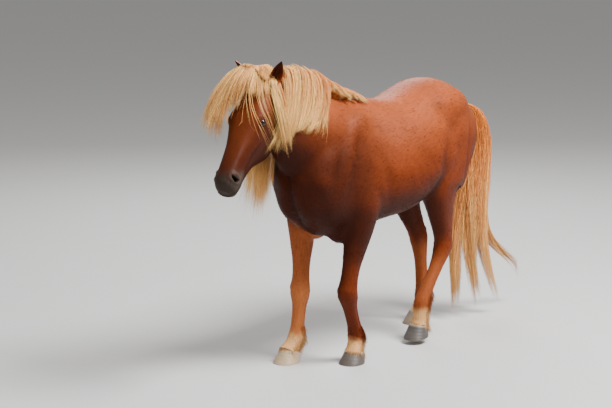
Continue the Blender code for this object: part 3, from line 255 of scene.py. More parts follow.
# Hoof poses: leg, name, middle of the sole in x and y, turn outward and lift of the heel in degrees.
HOOVES = (
    ("foreleg_left", "hoof_fore_left", (-0.415, -0.147), 6.0, 0.0),
    ("foreleg_right", "hoof_fore_right", (-0.622, 0.128), 4.0, 0.0),
    ("hindleg_left", "hoof_hind_left", (0.156, -0.140), 3.0, 5.0),
    ("hindleg_right", "hoof_hind_right", (0.522, 0.142), 5.0, 0.0),
)
# How high the toe of the lifted hoof hangs over the floor.
LIFTED = 0.024
# Hoof sections, sole to coronet: height at toe and heel, toe and heel ends, half width.
HOOF = (
    (0.000, 0.000, -0.072, 0.060, 0.064),
    (0.012, 0.008, -0.065, 0.063, 0.062),
    (0.045, 0.027, -0.041, 0.072, 0.055),
    (0.078, 0.043, -0.018, 0.080, 0.049),
)

# The middle of the coronet in a hoof's own frame.
CORONET = (0.031, 0.0, 0.052)
# How high tufts, and long hair, stay over the floor.
TUFT_FLOOR = 0.004
HAIR_FLOOR = 0.012
HOOF_TONES = {
    "hoof_fore_left": (0.085, 0.070, 0.058), "hoof_fore_right": (0.46, 0.34, 0.21),
    "hoof_hind_left": (0.070, 0.060, 0.054), "hoof_hind_right": (0.22, 0.17, 0.12),
}

# An ear's base: distances down the face, out of it and to the side. The right ear stands a little higher,
# over the hair, and both are sunk by their root.
EAR_LENGTH = 0.104
EAR_BASE = (-0.034, -0.014, 0.072)
EAR_ROOT = 0.022
RIGHT_EAR_MORE = 0.016
# Ear sections: share of the length, half width, depth of the cup, thickness of its wall.
EAR = (
    (0.00, 0.020, 0.040, 0.014),
    (0.14, 0.026, 0.044, 0.011),
    (0.32, 0.032, 0.038, 0.008),
    (0.55, 0.030, 0.027, 0.006),
    (0.76, 0.020, 0.016, 0.005),
    (0.92, 0.009, 0.008, 0.003),
    (1.00, 0.002, 0.002, 0.001),
)
# The tail's middle line with its half depth and half width. A place on it is a row number and the share of
# the way to the next row.
TAIL = (
    (0.650, 0.0, 1.262, 0.050, 0.052),
    (0.725, 0.0, 1.258, 0.055, 0.058),
    (0.810, 0.0, 1.222, 0.072, 0.072),
    (0.862, 0.0, 1.140, 0.102, 0.088),
    (0.872, 0.0, 1.010, 0.130, 0.098),
    (0.856, 0.0, 0.850, 0.142, 0.102),
    (0.838, 0.0, 0.690, 0.150, 0.104),
    (0.832, 0.0, 0.530, 0.160, 0.104),
    (0.850, 0.0, 0.370, 0.184, 0.106),
    (0.895, 0.0, 0.200, 0.226, 0.112),
    (0.950, 0.0, 0.035, 0.290, 0.118),
)
# A root's place on an OFBake map: the margin, and the share of the map that roots spread over.
MAP_EDGE = 0.02
MAP_SPREAD = 0.95
# How far random phases run: about one turn.
PHASE = 6.28
# The seed of each piece's random numbers.
SEEDS = {
    "mane_left": 19, "mane_right": 21, "fringe_left": 24, "fringe_right": 22, "forelock_left": 31,
    "forelock_right": 33, "tail_hair_inner": 50, "tail_hair_outer": 51, "coat_trunk": 70, "coat_limbs": 71,
    "feather": 90,
}
# Pointed locks and stations along a strand, for each kind of long hair.
MANE_LOCKS, FRINGE_LOCKS, LEFT_FORELOCK_LOCKS, RIGHT_FORELOCK_LOCKS = 64, 46, 90, 70
HAIR_STATIONS, FRINGE_STATIONS = 12, 9
# The tail's hair: locks, stations of a strand, and how far back it may reach.
TAIL_LOCKS = 64
TAIL_STATIONS = 13
TAIL_BACK = 1.320
# Where the roots begin on the line, and over how much of it they spread.
DOCK_START = 0.7
DOCK_SPAN = 3.4
# The long points that the lower tail draws to: their turns round the line and their reach. The first one is
# blown backward.
POINT_TURN = np.array([-0.25, 0.9, 2.0, 3.1, 4.1, 5.2])
POINT_REACH = np.array([0.95, 0.80, 0.75, 0.90, 0.55, 0.85])

# The forelock's outer sheet: from its right edge to its left one, each lock line from the poll to the tip, as
# distances down the face, out of it and to the horse's right.
FORELOCK = (
    ((-0.100, -0.040, 0.034), (-0.053, 0.070, 0.050), (-0.015, 0.074, 0.090), (0.059, 0.070, 0.115),
     (0.132, 0.041, 0.130), (0.202, 0.004, 0.132), (0.271, -0.038, 0.128), (0.331, -0.082, 0.120)),
    ((-0.100, -0.040, 0.026), (-0.048, 0.090, 0.035), (0.000, 0.114, 0.075), (0.072, 0.115, 0.105),
     (0.145, 0.098, 0.140), (0.208, 0.066, 0.163), (0.259, 0.026, 0.182), (0.317, -0.004, 0.190)),
    ((-0.100, -0.040, 0.019), (-0.044, 0.100, 0.020), (0.009, 0.133, 0.050), (0.076, 0.134, 0.080),
     (0.143, 0.117, 0.110), (0.203, 0.093, 0.135), (0.264, 0.072, 0.152), (0.326, 0.051, 0.160)),
    ((-0.100, -0.040, 0.011), (-0.048, 0.092, 0.010), (0.023, 0.130, 0.020), (0.089, 0.124, 0.040),
     (0.143, 0.095, 0.062), (0.192, 0.065, 0.078), (0.236, 0.038, 0.086), (0.277, 0.007, 0.088)),
    ((-0.100, -0.040, 0.004), (-0.051, 0.083, 0.000), (0.028, 0.107, 0.000), (0.091, 0.098, 0.008),
     (0.143, 0.074, 0.020), (0.189, 0.050, 0.030), (0.223, 0.024, 0.037), (0.252, 0.001, 0.040)),
    ((-0.100, -0.040, -0.004), (-0.056, 0.073, 0.000), (0.029, 0.097, -0.015), (0.126, 0.113, -0.040),
     (0.200, 0.092, -0.070), (0.253, 0.041, -0.098), (0.281, -0.045, -0.110), (0.298, -0.145, -0.112)),
    ((-0.100, -0.040, -0.011), (-0.080, 0.050, -0.005), (0.012, 0.076, -0.030), (0.116, 0.086, -0.065),
     (0.179, 0.039, -0.090), (0.220, -0.036, -0.112), (0.235, -0.142, -0.120), (0.253, -0.255, -0.118)),
    ((-0.100, -0.040, -0.019), (-0.104, 0.022, -0.010), (-0.015, 0.041, -0.045), (0.078, 0.026, -0.085),
     (0.136, -0.031, -0.108), (0.176, -0.115, -0.122), (0.206, -0.217, -0.125), (0.243, -0.314, -0.120)),
    ((-0.100, -0.040, -0.026), (-0.116, 0.005, -0.020), (-0.043, 0.004, -0.060), (0.029, -0.031, -0.098),
     (0.082, -0.092, -0.118), (0.129, -0.162, -0.128), (0.168, -0.238, -0.128), (0.198, -0.311, -0.122)),
    ((-0.100, -0.040, -0.034), (-0.121, -0.018, -0.030), (-0.063, -0.046, -0.075), (-0.004, -0.091, -0.108),
     (0.050, -0.143, -0.124), (0.096, -0.201, -0.130), (0.135, -0.251, -0.130), (0.165, -0.301, -0.125)),
)
# The mane's outer sheet on the left, from behind the ear to the withers, each lock line from the crest to
# the tip.
MANE = (
    ((-0.863, -0.052, 1.577), (-0.878, -0.090, 1.562), (-0.898, -0.122, 1.499), (-0.903, -0.134, 1.425),
     (-0.900, -0.136, 1.354), (-0.898, -0.132, 1.277), (-0.903, -0.126, 1.182)),
    ((-0.866, -0.045, 1.585), (-0.866, -0.085, 1.572), (-0.876, -0.118, 1.507), (-0.878, -0.130, 1.432),
     (-0.880, -0.134, 1.352), (-0.884, -0.132, 1.276), (-0.900, -0.128, 1.204)),
    ((-0.796, -0.035, 1.594), (-0.790, -0.080, 1.573), (-0.811, -0.118, 1.501), (-0.828, -0.132, 1.423),
     (-0.839, -0.136, 1.348), (-0.842, -0.134, 1.291), (-0.849, -0.130, 1.241)),
    ((-0.719, -0.030, 1.588), (-0.713, -0.075, 1.559), (-0.737, -0.115, 1.485), (-0.757, -0.130, 1.411),
     (-0.771, -0.134, 1.341), (-0.777, -0.134, 1.292), (-0.781, -0.130, 1.250)),
    ((-0.641, -0.025, 1.572), (-0.632, -0.068, 1.537), (-0.650, -0.108, 1.468), (-0.669, -0.126, 1.397),
     (-0.685, -0.132, 1.329), (-0.697, -0.132, 1.280), (-0.709, -0.130, 1.242)),
    ((-0.569, -0.020, 1.548), (-0.556, -0.060, 1.511), (-0.573, -0.100, 1.449), (-0.585, -0.120, 1.385),
     (-0.595, -0.128, 1.328), (-0.603, -0.130, 1.278), (-0.610, -0.128, 1.227)),
    ((-0.501, -0.015, 1.519), (-0.480, -0.045, 1.484), (-0.500, -0.075, 1.443), (-0.520, -0.092, 1.405),
     (-0.536, -0.102, 1.372), (-0.550, -0.108, 1.330), (-0.562, -0.110, 1.280)),
)
# The short fringe behind it, swept back toward the saddle.
FRINGE = (
    ((-0.565, 0.000, 1.530), (-0.535, -0.020, 1.538), (-0.515, -0.045, 1.515), (-0.502, -0.070, 1.478),
     (-0.496, -0.088, 1.440)),
    ((-0.495, 0.000, 1.512), (-0.482, -0.030, 1.511), (-0.463, -0.055, 1.487), (-0.450, -0.075, 1.456),
     (-0.443, -0.090, 1.421)),
    ((-0.408, 0.000, 1.465), (-0.388, -0.025, 1.467), (-0.369, -0.050, 1.447), (-0.355, -0.072, 1.424),
     (-0.349, -0.090, 1.397)),
    ((-0.319, 0.000, 1.425), (-0.296, -0.022, 1.429), (-0.273, -0.045, 1.411), (-0.263, -0.070, 1.387),
     (-0.265, -0.095, 1.361)),
    ((-0.236, 0.000, 1.394), (-0.212, -0.022, 1.396), (-0.186, -0.045, 1.375), (-0.181, -0.075, 1.350),
     (-0.180, -0.105, 1.322)),
)

# How much lower the mane's lines end on the right side.
RIGHT_DROP = (0.22, 0.34, 0.42, 0.40, 0.28, 0.10, 0.0)
# How far right of the neck's middle the roots of the left side lie, for the mane and for the fringe.
MANE_CROSSING = 0.018
FRINGE_CROSSING = 0.006

# The camera: place in the horse's own frame, turn and tilt down in degrees.
CAMERA_AT = (-7.810, -6.044, 2.508)
CAMERA_YAW = 40.02
CAMERA_PITCH = 9.96
WORLD_COLOUR = (0.88, 0.87, 0.87, 1.0)
WORLD_STRENGTH = 0.55
# Lamps: name, place, target, size and power.
LAMPS = (
    ("key", (0.6, -3.4, 6.0), (0.0, 0.0, 1.0), 2.6, 1150.0),
    ("fill", (-6.0, -2.0, 3.4), (-0.8, 0.0, 1.0), 4.0, 80.0),
    ("rim", (3.5, 3.5, 4.5), (0.0, 0.0, 1.2), 3.0, 260.0),
)


# Sizes and colours that a user may change


def colour_field(name, what, value):
    """A colour that a user may change."""
    return bpy.props.FloatVectorProperty(
        name=name, description=what, default=value, subtype="COLOR", size=3, min=0.0, max=1.0
    )


def length_field(name, what, value, unit="LENGTH"):
    """A length that a user may change."""
    return bpy.props.FloatProperty(name=name, description=what, default=value, unit=unit)


def count_field(name, what, value):
    """A number of things that a user may change."""
    return bpy.props.IntProperty(name=name, description=what, default=value)


class HorseSkinSettings(bpy.types.PropertyGroup):
    voxel: length_field("Skin grain", "Size of the grid that fuses the body", 0.0048)
    depth: length_field("Coat depth", "How far the skin lies inside the coat", 0.0020)
    triangles: count_field("Triangles", "Triangles kept before detail", 110000)
    chestnut: colour_field("Chestnut", "The coat on the side of the body", (0.140, 0.0225, 0.0046))
    # Painted sunlight: mixed into the coat on upward-facing parts of the back and croup.
    bright: colour_field("Sunlit back", "The coat along the back and croup", (0.290, 0.064, 0.0175))
    # Painted shade: this colour darkens the chest front, under parts, inner legs, hip hollow, face, jaw,
    # eyes' surroundings and ear cups.
    dark: colour_field("Dark coat", "The coat under the belly and inside the legs", (0.029, 0.0048, 0.0012))
    pale: colour_field("Pale sock", "The hair at the pasterns", (0.620, 0.330, 0.130))
    muzzle: colour_field("Muzzle", "The skin of the nose and lips", (0.038, 0.026, 0.020))


class HorseHairSettings(bpy.types.PropertyGroup):
    cream: colour_field("Cream", "The palest strands", (1.000, 0.520, 0.175))
    gold: colour_field("Gold", "The strands near the roots", (0.760, 0.225, 0.042))
    # Painted shade: the colour that deep strands and some darker locks are mixed toward.
    shade: colour_field("Shade", "The darker strands below", (0.290, 0.070, 0.014))
    width: length_field("Strand width", "Width of one strand at its widest", 0.0020)
    mane: count_field("Mane strands", "Strands on each side of the neck", 2800)
    forelock: count_field("Forelock strands", "Strands on the forelock's left side", 2800)
    tail: count_field("Tail strands", "Strands in each half of the tail", 2600)


class HorseCoatSettings(bpy.types.PropertyGroup):
    tufts: count_field("Tufts", "Short tufts in each part of the coat", 13000)
    length: length_field("Tuft length", "Length of a tuft on the body", 0.016)
    feather: count_field("Feather strands", "Half of the long strands at each pastern", 900)


class HorseStageSettings(bpy.types.PropertyGroup):
    floor: colour_field("Floor", "The studio floor", (0.52, 0.515, 0.505))
    lens: length_field("Lens", "Focal length of the camera", 109.4, "CAMERA")


# Shapes


def spline(rows, at):
    """A cubic Hermite curve through rows whose first column is the station.

    Each slope is the mean of the slopes on its two sides.
    """
    rows = np.asarray(rows, float)
    station, value = rows[:, 0], rows[:, 1:]
    slope = np.gradient(value, station, axis=0)
    i = np.clip(np.searchsorted(station, at, side="right") - 1, 0, len(station) - 2)
    span = (station[i + 1] - station[i])[:, None]
    t = (np.asarray(at) - station[i])[:, None] / span
    start = (2 * t**3 - 3 * t**2 + 1) * value[i] + (t**3 - 2 * t**2 + t) * span * slope[i]
    end = (3 * t**2 - 2 * t**3) * value[i + 1] + (t**3 - t**2) * span * slope[i + 1]
    return start + end


def oval(sides, fore, aft, right, left, fore_power, aft_power):
    """Superellipse sections: depth and width of each point.

    Depth is the reach times the signed cosine to the power 2/n, and width is the same with the sine.
    """
    angle = np.arange(sides) / sides * TURN
    c, s = np.cos(angle)[None, :], np.sin(angle)[None, :]
    power = np.where(c > 0, fore_power[:, None], aft_power[:, None])
    depth = np.where(c > 0, fore[:, None], aft[:, None]) * signed_power(c, 2 / power)
    width = np.where(s > 0, right[:, None], left[:, None]) * signed_power(s, 2 / power)
    return depth, width


def signed_power(value, power):
    """The size of the value to the power, with the value's sign."""
    return np.sign(value) * np.abs(value) ** power


def unit(vectors, least=0.0):
    """Each vector over its length plus a least length."""
    return vectors / (np.linalg.norm(vectors, axis=-1, keepdims=True) + least)


def skin_rings(rings):
    """Closes a stack of rings into one body, with a fan of triangles at each end."""
    count, sides = rings.shape[:2]
    points = np.vstack([rings.reshape(-1, 3), rings[0].mean(0), rings[-1].mean(0)])
    ring, side = np.meshgrid(np.arange(count - 1), np.arange(sides), indexing="ij")
    after = (side + 1) % sides
    here, above = ring * sides, (ring + 1) * sides
    walls = np.stack([here + side, here + after, above + after, above + side], -1).reshape(-1, 4)
    first, last = count * sides, count * sides + 1
    k = np.arange(sides)
    nxt = (k + 1) % sides
    near = np.stack([np.full(sides, first), nxt, k], 1)
    far = np.stack([np.full(sides, last), (count - 1) * sides + k, (count - 1) * sides + nxt], 1)
    return points, walls.tolist() + near.tolist() + far.tolist()


def sweep(centres, fore, aft, right, left, fore_power, aft_power, sides=36):
    """A tube of oval sections, each square to its path and level across the horse."""
    centres = np.asarray(centres)
    along = unit(np.gradient(centres, axis=0))
    across = np.array([0.0, 1.0, 0.0])
    side = unit(across[None, :] - along * (along @ across)[:, None])
    face = np.cross(side, along)
    depth, width = oval(sides, fore, aft, right, left, fore_power, aft_power)
    out = depth[..., None] * face[:, None, :]
    return skin_rings(centres[:, None, :] + out + width[..., None] * side[:, None, :])


def trunk():
    """The barrel: at every x a superellipse between its top, keel and widest heights."""
    sides = 40
    at = np.linspace(TRUNK[0][0], TRUNK[-1][0], 60)
    top, keel, widest, half, above, below = spline(TRUNK, at).T
    depth, width = oval(sides, top - widest, widest - keel, half, half, above, below)
    rings = np.empty((len(at), sides, 3))
    rings[..., 0] = at[:, None]
    rings[..., 1] = width
    rings[..., 2] = widest[:, None] + depth
    return skin_rings(rings)


def neck():
    """The neck: ovals along its centre line, sharper at the crest."""
    at = np.linspace(0, 1, 30)
    x, y, z, crest, throat, half = spline(NECK, at).T
    below = np.full(len(at), 2.0)
    return sweep(np.stack([x, y, z], 1), crest, throat, half, half, below * 0.85, below)


def head_axes():
    """The poll, and unit vectors down the face, out of the forehead and to the horse's right."""
    turn, pitch = math.radians(HEAD_TURN), math.radians(HEAD_PITCH)
    level = math.cos(pitch)
    down_face = np.array([-math.cos(turn) * level, -math.sin(turn) * level, -math.sin(pitch)])
    right = np.array([-math.sin(turn), math.cos(turn), 0.0])
    return np.array(POLL), down_face, np.cross(right, down_face), right


def head_point(down, out, right):
    """The point at three distances in the head's own frame."""
    poll, down_axis, out_axis, right_axis = head_axes()
    return poll + down * down_axis + out * out_axis + right * right_axis


def head_place(points):
    """Distances down the face, out of it and to the right, of points in the horse's frame."""
    poll, down_axis, out_axis, right_axis = head_axes()
    local = points - poll
    return local @ down_axis, local @ out_axis, local @ right_axis


def head():
    """The head: superellipse sections down the face, pinched toward the jaw."""
    poll, down_axis, out_axis, right_axis = head_axes()
    at = np.linspace(HEAD[0][0], HEAD[-1][0], 80)
    face, jaw, widest, half, face_power, jaw_power = spline(HEAD, at).T
    depth, width = oval(48, face - widest, widest - jaw, half, half, face_power, jaw_power)
    depth = depth + widest[:, None]
    below = np.clip((widest[:, None] - depth) / (widest - jaw)[:, None], 0, 1)
    width = width * (1 - 0.22 * below)
    rings = poll + at[:, None, None] * down_axis + depth[..., None] * out_axis
    return skin_rings(rings + width[..., None] * right_axis)


def hoof_matrix(name):
    """Places a hoof whose sole lies round its own zero with the toe at -X. A lifted one hangs toe down."""
    _, _, (x, y), out, lift = next(row for row in HOOVES if row[0] == name)
    toe = Vector((HOOF[0][2], 0.0, 0.0))
    turn = Matrix.Rotation(math.radians(-out if y > 0 else out), 4, "Z")
    tip = Matrix.Rotation(math.radians(-lift), 4, "Y")
    tip = Matrix.Translation(toe) @ tip @ Matrix.Translation(-toe)
    raised = LIFTED if lift else 0.0
    return Matrix.Translation((x, y, raised)) @ turn @ tip


def coronet_of(name):
    """The middle of a leg's coronet."""
    return np.array(hoof_matrix(name) @ Vector(CORONET))


def leg(name):
    """A leg: ovals along the line of its joints down to the coronet, part curved and part straight."""
    joints = np.array([*LEG_JOINTS[name], coronet_of(name)])
    rows = FORELEG if name.startswith("fore") else HINDLEG
    path = np.column_stack([np.arange(len(joints)), joints])
    at = np.linspace(0, 4, 100)
    straight = np.stack([np.interp(at, path[:, 0], path[:, k]) for k in (1, 2, 3)], 1)
    centres = 0.45 * spline(path, at) + 0.55 * straight
    fore, aft, outer, inner = spline(rows, at).T
    right, left = (outer, inner) if joints[1][1] > 0 else (inner, outer)
    power = np.full(len(at), 2.2)
    return sweep(centres, fore, aft, right, left, power, power, sides=32)


def globe(margin, rows, columns):
    """A unit ball as a grid of latitude and longitude, open by a margin of angle at both poles."""
    high = np.linspace(margin, math.pi - margin, rows)[:, None]
    angle = np.arange(columns) / columns * TURN
    return np.stack([
        np.sin(high) * np.cos(angle), np.sin(high) * np.sin(angle), np.cos(high) + 0 * angle
    ], -1)


def ball(centre, radii, lean=0.0):
    """An ellipsoid: a unit ball scaled, leaned backward about Y and moved."""
    rings = globe(0.04, 24, 36) * np.array(radii)
    c, s = math.cos(math.radians(lean)), math.sin(math.radians(lean))
    x, z = rings[..., 0] * c + rings[..., 2] * s, rings[..., 2] * c - rings[..., 0] * s
    return skin_rings(np.stack([x, rings[..., 1], z], -1) + np.array(centre))


def muscles():
    """The muscle masses on both sides, the points of the hocks and the hamstrings."""
    pieces = []
    for (x, y, z), radii, lean in MUSCLES:
        pieces += [ball((x, side * y, z), radii, lean) for side in (-1, 1)]
    for name in ("hindleg_left", "hindleg_right"):
        hock, back = np.array(LEG_JOINTS[name][2]), np.array(HOCK_WAY)
        pieces.append(ball(hock + HOCK_BACK * back / np.linalg.norm(back), HOCK_RADII, HOCK_LEAN))
    return pieces + [ball(*row) for row in HAMSTRINGS]


def ear_more(side):
    """How much farther out an ear stands than the left one."""
    return RIGHT_EAR_MORE if side > 0 else 0.0


def ear_line(side):
    """Where an ear starts and the unit vector along it."""
    _, down_axis, _, right_axis = head_axes()
    up = np.array([0.0, 0.0, 0.86]) + right_axis * side * (0.86 if side > 0 else 0.36) - down_axis * 0.10
    up /= np.linalg.norm(up)
    return head_point(EAR_BASE[0], EAR_BASE[1], side * EAR_BASE[2]) + ear_more(side) * up, up


def ear(side):
    """A cupped leaf on the poll: at each height a crescent.

    The outer and inner arcs are cosines of the place across the width.
    """
    right_axis = head_axes()[3]
    start, up = ear_line(side)
    face = right_axis * side * 0.75 + np.array([-0.70, -0.10, 0.0])
    face -= up * (face @ up)
    face /= np.linalg.norm(face)
    across = np.cross(up, face)
    base = start - (EAR_ROOT + ear_more(side)) * up
    at = np.linspace(0, 1, 40)
    half, depth, wall = spline(EAR, at).T[:, :, None]
    spread = np.linspace(-1, 1, 21)[None, :]
    centre = base + at[:, None] * up * (EAR_LENGTH + EAR_ROOT + ear_more(side))
    centre = (centre - face * 0.010 * np.sin(np.pi * at)[:, None])[:, None, :]
    lift = (depth * 0.4)[..., None] * face
    curve = np.cos(np.pi / 2 * spread)
    back = centre + (half * spread)[..., None] * across - (depth * curve)[..., None] * face + lift
    spread, curve = spread[:, 1:-1][:, ::-1], curve[:, 1:-1][:, ::-1]
    inner = np.maximum(depth * curve - wall, -wall * 0.2)
    front = centre + (half * 0.92 * spread)[..., None] * across - inner[..., None] * face + lift
    return skin_rings(np.concatenate([back, front], 1))


def joined(pieces):
    """Points and faces of several pieces in one list each."""
    points, faces, start = [], [], 0
    for some, these in pieces:
        points.append(some)
        faces += [tuple(k + start for k in face) for face in these]
        start += len(some)
    return np.vstack(points), faces


# Meshes


def fetched(items, key, width, kind=np.float32):
    """One row of numbers for each item of a mesh's list."""
    found = np.empty(len(items) * width, kind)
    items.foreach_get(key, found)
    return found.reshape(-1, width)


def coordinates(mesh):
    """The places of a mesh's vertices."""
    return fetched(mesh.vertices, "co", 3).astype(float)


def normals(mesh):
    """The normals at a mesh's vertices."""
    return fetched(mesh.vertex_normals, "vector", 3).astype(float)


def put(mesh, points):
    """Moves a mesh's vertices to the points."""
    mesh.vertices.foreach_set("co", np.asarray(points, np.float32).ravel())
    mesh.update()


def linked(name, data):
    """A new object in the scene."""
    item = bpy.data.objects.new(name, data)
    bpy.context.scene.collection.objects.link(item)
    return item


def place(name, points, faces):
    """A mesh from points and from faces with any number of corners."""
    mesh = bpy.data.meshes.new(name)
    mesh.from_pydata(np.asarray(points).tolist(), [], faces)
    mesh.update()
    return linked(name, mesh)


def place_arrays(name, points, faces):
    """A mesh straight from arrays: points, and faces that all have the same number of corners."""
    mesh = bpy.data.meshes.new(name)
    count, corners = faces.shape
    mesh.vertices.add(len(points))
    mesh.vertices.foreach_set("co", np.asarray(points, np.float32).ravel())
    mesh.loops.add(count * corners)
    mesh.loops.foreach_set("vertex_index", faces.astype(np.int32).ravel())
    mesh.polygons.add(count)
    mesh.polygons.foreach_set("loop_start", np.arange(0, count * corners, corners, dtype=np.int32))
    mesh.update(calc_edges=True)
    return linked(name, mesh)


def with_values(item, values):
    """Sets attributes of an item by their names."""
    for key, value in values.items():
        setattr(item, key, value)
    return item


def modify(item, kind, **values):
    """Adds a modifier of a kind, with its settings."""
    with_values(item.modifiers.new(kind, kind), values)


def apply_modifiers(item):
    """Gives an object the mesh that its modifiers make."""
    bpy.context.view_layer.update()
    evaluated = item.evaluated_get(bpy.context.evaluated_depsgraph_get())
    mesh = bpy.data.meshes.new_from_object(evaluated)
    item.modifiers.clear()
    item.data = mesh


def outward(item):
    """Turns an object's faces outward."""
    made = bmesh.new()
    made.from_mesh(item.data)
    bmesh.ops.recalc_face_normals(made, faces=made.faces)
    made.to_mesh(item.data)
    made.free()
    return item


def smooth_share(points):
    """How freely the surface may relax: fully on the trunk, little on the head and the lower legs."""
    along, _, _ = head_place(points)
    head_part = np.clip((along + 0.06) / 0.10, 0, 1) * (points[:, 0] < -0.85)
    low = np.clip((0.72 - points[:, 2]) / 0.20, 0, 1)
    return 1 - np.maximum(0.80 * head_part, 0.86 * low)


def relax(mesh, rounds, share):
    """Moves every vertex part of the way to the mean of its neighbours, summed edge by edge."""
    a, b = fetched(mesh.edges, "vertices", 2, np.int32).T
    count = len(mesh.vertices)
    degree = np.bincount(a, minlength=count) + np.bincount(b, minlength=count)
    points = coordinates(mesh)
    share = (0.5 * share)[:, None]
    for _ in range(rounds):
        total = np.stack(
            [np.bincount(a, points[b, k], count) + np.bincount(b, points[a, k], count) for k in range(3)], 1
        )
        points += share * (total / degree[:, None] - points)
    put(mesh, points)


def bump(along, across, reach_along, reach_across):
    """A smooth hill: the exponential of minus the squared distances over their reaches."""
    return np.exp(-((along / reach_along) ** 2) - (across / reach_across) ** 2)


def hills(rise, rows, along, across):
    """Adds one smooth hill after another to the rise, slanted across in step with the place along."""
    for height, at, beside, slant, pivot, reach_along, reach_across in rows:
        aside = across - beside - (along - pivot) * slant
        rise = rise + height * bump(along - at, aside, reach_along, reach_across)
    return rise


def ridge(distance, reach):
    """A smooth ridge: the exponential of minus the squared distance over the reach."""
    return np.exp(-((distance / reach) ** 2))


def step(value, reach):
    """Rises smoothly from 0 to 1 as the value passes zero, over the reach."""
    t = np.clip(0.5 + value / reach, 0, 1)
    return t * t * (3 - 2 * t)


def nostril_pit(u, v):
    """How far inside a nostril: 1 at its middle, 0 at its rim, a comma drawn up to a slit behind."""
    n, m = u - NOSTRIL[0], v - NOSTRIL[1]
    bend = n - 0.006 + (m + 0.002) ** 2 * 12
    return 1 - np.sqrt((bend / (0.0125 - 0.12 * np.clip(m, -0.05, 0.05))) ** 2 + (m / 0.0235) ** 2)


def mouth_line(u, v):
    """Distance over the line between the lips, which dips a little in front."""
    return v + 0.0965 + 0.004 * np.clip((0.60 - u) / 0.11, 0, 1) + 0.006 * np.clip((u - 0.52) / 0.08, 0, 1)


def mouth_reach(u):
    """Rises from 0 to 1 where the mouth begins, going down the face."""
    return np.clip((u - 0.488) / 0.02, 0, 1)


def head_relief(points):
    """How far the head's surface stands out: lids and folds, brow, cheek, nostrils, lips and chin."""
    u, v, w = head_place(points)
    side = np.clip((np.abs(w) - 0.02) / 0.02, 0, 1)
    a, b = u - EYE[0], v - EYE[1]
    a, b = a * 0.966 + b * 0.26, b * 0.966 - a * 0.26
    opening = np.clip(1 - (a / 0.0225) ** 2, 0, 1)
    upper, lower = 0.0120 * opening**0.7, -0.0085 * opening**0.8
    fade = np.clip(1.35 - (a / 0.028) ** 2, 0, 1)
    rise = 0.0070 * bump(a + 0.004, b - 0.010, 0.042, 0.032)
    rise += fade * (0.0038 * ridge(b - upper - 0.0028, 0.0032) + 0.0030 * ridge(b - lower + 0.0026, 0.0028))
    rise -= fade * (0.0030 * ridge(b - upper - 0.0088, 0.0020) + 0.0016 * ridge(b - upper - 0.0150, 0.0020))
    rise -= fade * (0.0018 * ridge(b - lower + 0.0085, 0.0018) + 0.0012 * ridge(b - lower + 0.0135, 0.0016))
    depth = np.minimum(upper - b, b - lower)
    inside = step(depth, 0.0022) * (opening > 0)
    rise += inside * (-0.0040 - rise)
    rise = hills(rise, HEAD_FORMS, u, v)
    n, m = u - NOSTRIL[0], v - NOSTRIL[1]
    ring = np.sqrt((n / 0.019) ** 2 + (m / 0.026) ** 2)
    rise += 0.0065 * np.exp(-(((ring - 1.05) / 0.50) ** 2))
    rise -= 0.022 * step(nostril_pit(u, v) - 0.12, 0.5)
    rise = hills(rise, LIP_FORMS, u, v) * side
    # The mouth line runs from the front of the lips back to the corner, dipping a little in front.
    line, reach = mouth_line(u, v), mouth_reach(u)
    lips = -0.0050 * ridge(line, 0.0017) + 0.0016 * ridge(line - 0.0055, 0.004)
    rise += reach * (lips + 0.0016 * ridge(line + 0.0060, 0.004))
    rise -= 0.0015 * (reach > 0) * bump(u - 0.500, v + 0.105, 0.006, 0.012)
    near = (np.abs(np.stack([u, v, w], 1)).max(1) < 0.64) & (points[:, 0] < -0.85)
    return rise * near


def body_relief(points, facing):
    """Shallow forms of the trunk: shoulder, elbow, breast furrow, ribs, flank, thigh line and hip hollow."""
    x, y, z = points.T
    out = np.clip((np.abs(facing[:, 1]) - 0.25) / 0.4, 0, 1)
    rise = hills(0.0, FRONT_FORMS, z, x)
    rib = np.sin((x + 0.55 * (z - 1.0)) * 2 * math.pi / 0.062)
    rise += 0.0011 * rib * bump(x - 0.06, z - 0.98, 0.17, 0.16)
    rise = hills(rise, REAR_FORMS, z, x)
    rise += 0.0022 * np.sin(x * 23 + z * 31) * np.sin(z * 17 - x * 11) * 0.5
    low = np.clip((z - 0.62) / 0.10, 0, 1) * (x > -0.86)
    ahead = np.clip((-facing[:, 0] - 0.35) / 0.4, 0, 1) * (x < -0.50)
    ahead = ahead * (z < 1.02) * np.clip((z - 0.66) / 0.08, 0, 1)
    furrow = -0.0085 * ridge(y, 0.020) + 0.0035 * ridge(np.abs(y) - 0.065, 0.030)
    return rise * out * low + furrow * ahead


def leg_relief(points):
    """Tendons and bones of the lower legs: the groove before the back tendon, knee and hock bones."""
    x, y, z = points.T
    rise = np.zeros(len(points))
    for joints in LEG_JOINTS.values():
        knee, fetlock = np.array(joints[2]), np.array(joints[3])
        bone = np.interp(z, [fetlock[2], knee[2]], [fetlock[0], knee[0]])
        near = (np.sign(y) == np.sign(knee[1])) & (np.abs(x - bone) < 0.16)
        t = np.clip((knee[2] - z) / (knee[2] - fetlock[2]), -0.5, 1.3)
        centre = knee[0] + (fetlock[0] - knee[0]) * t
        band = np.clip((t - 0.16) / 0.12, 0, 1) * np.clip((0.92 - t) / 0.12, 0, 1)
        side = np.clip((np.abs(y - knee[1]) - 0.010) / 0.012, 0, 1)
        high = z - knee[2]
        rise -= 0.0042 * ridge(x - centre - 0.010, 0.0075) * band * side * near
        rise += 0.0030 * bump(high, x - knee[0] + 0.02, 0.032, 0.040) * near
        rise += 0.0016 * np.sin(high * 150) * bump(high, x - knee[0] + 0.03, 0.045, 0.03) * near
    return rise * (z < 0.60)


# Colours


def mix(a, b, share):
    """Goes from one colour to another by the share, point by point."""
    share = np.clip(share, 0, 1)[..., None]
    return np.asarray(a) * (1 - share) + np.asarray(b) * share


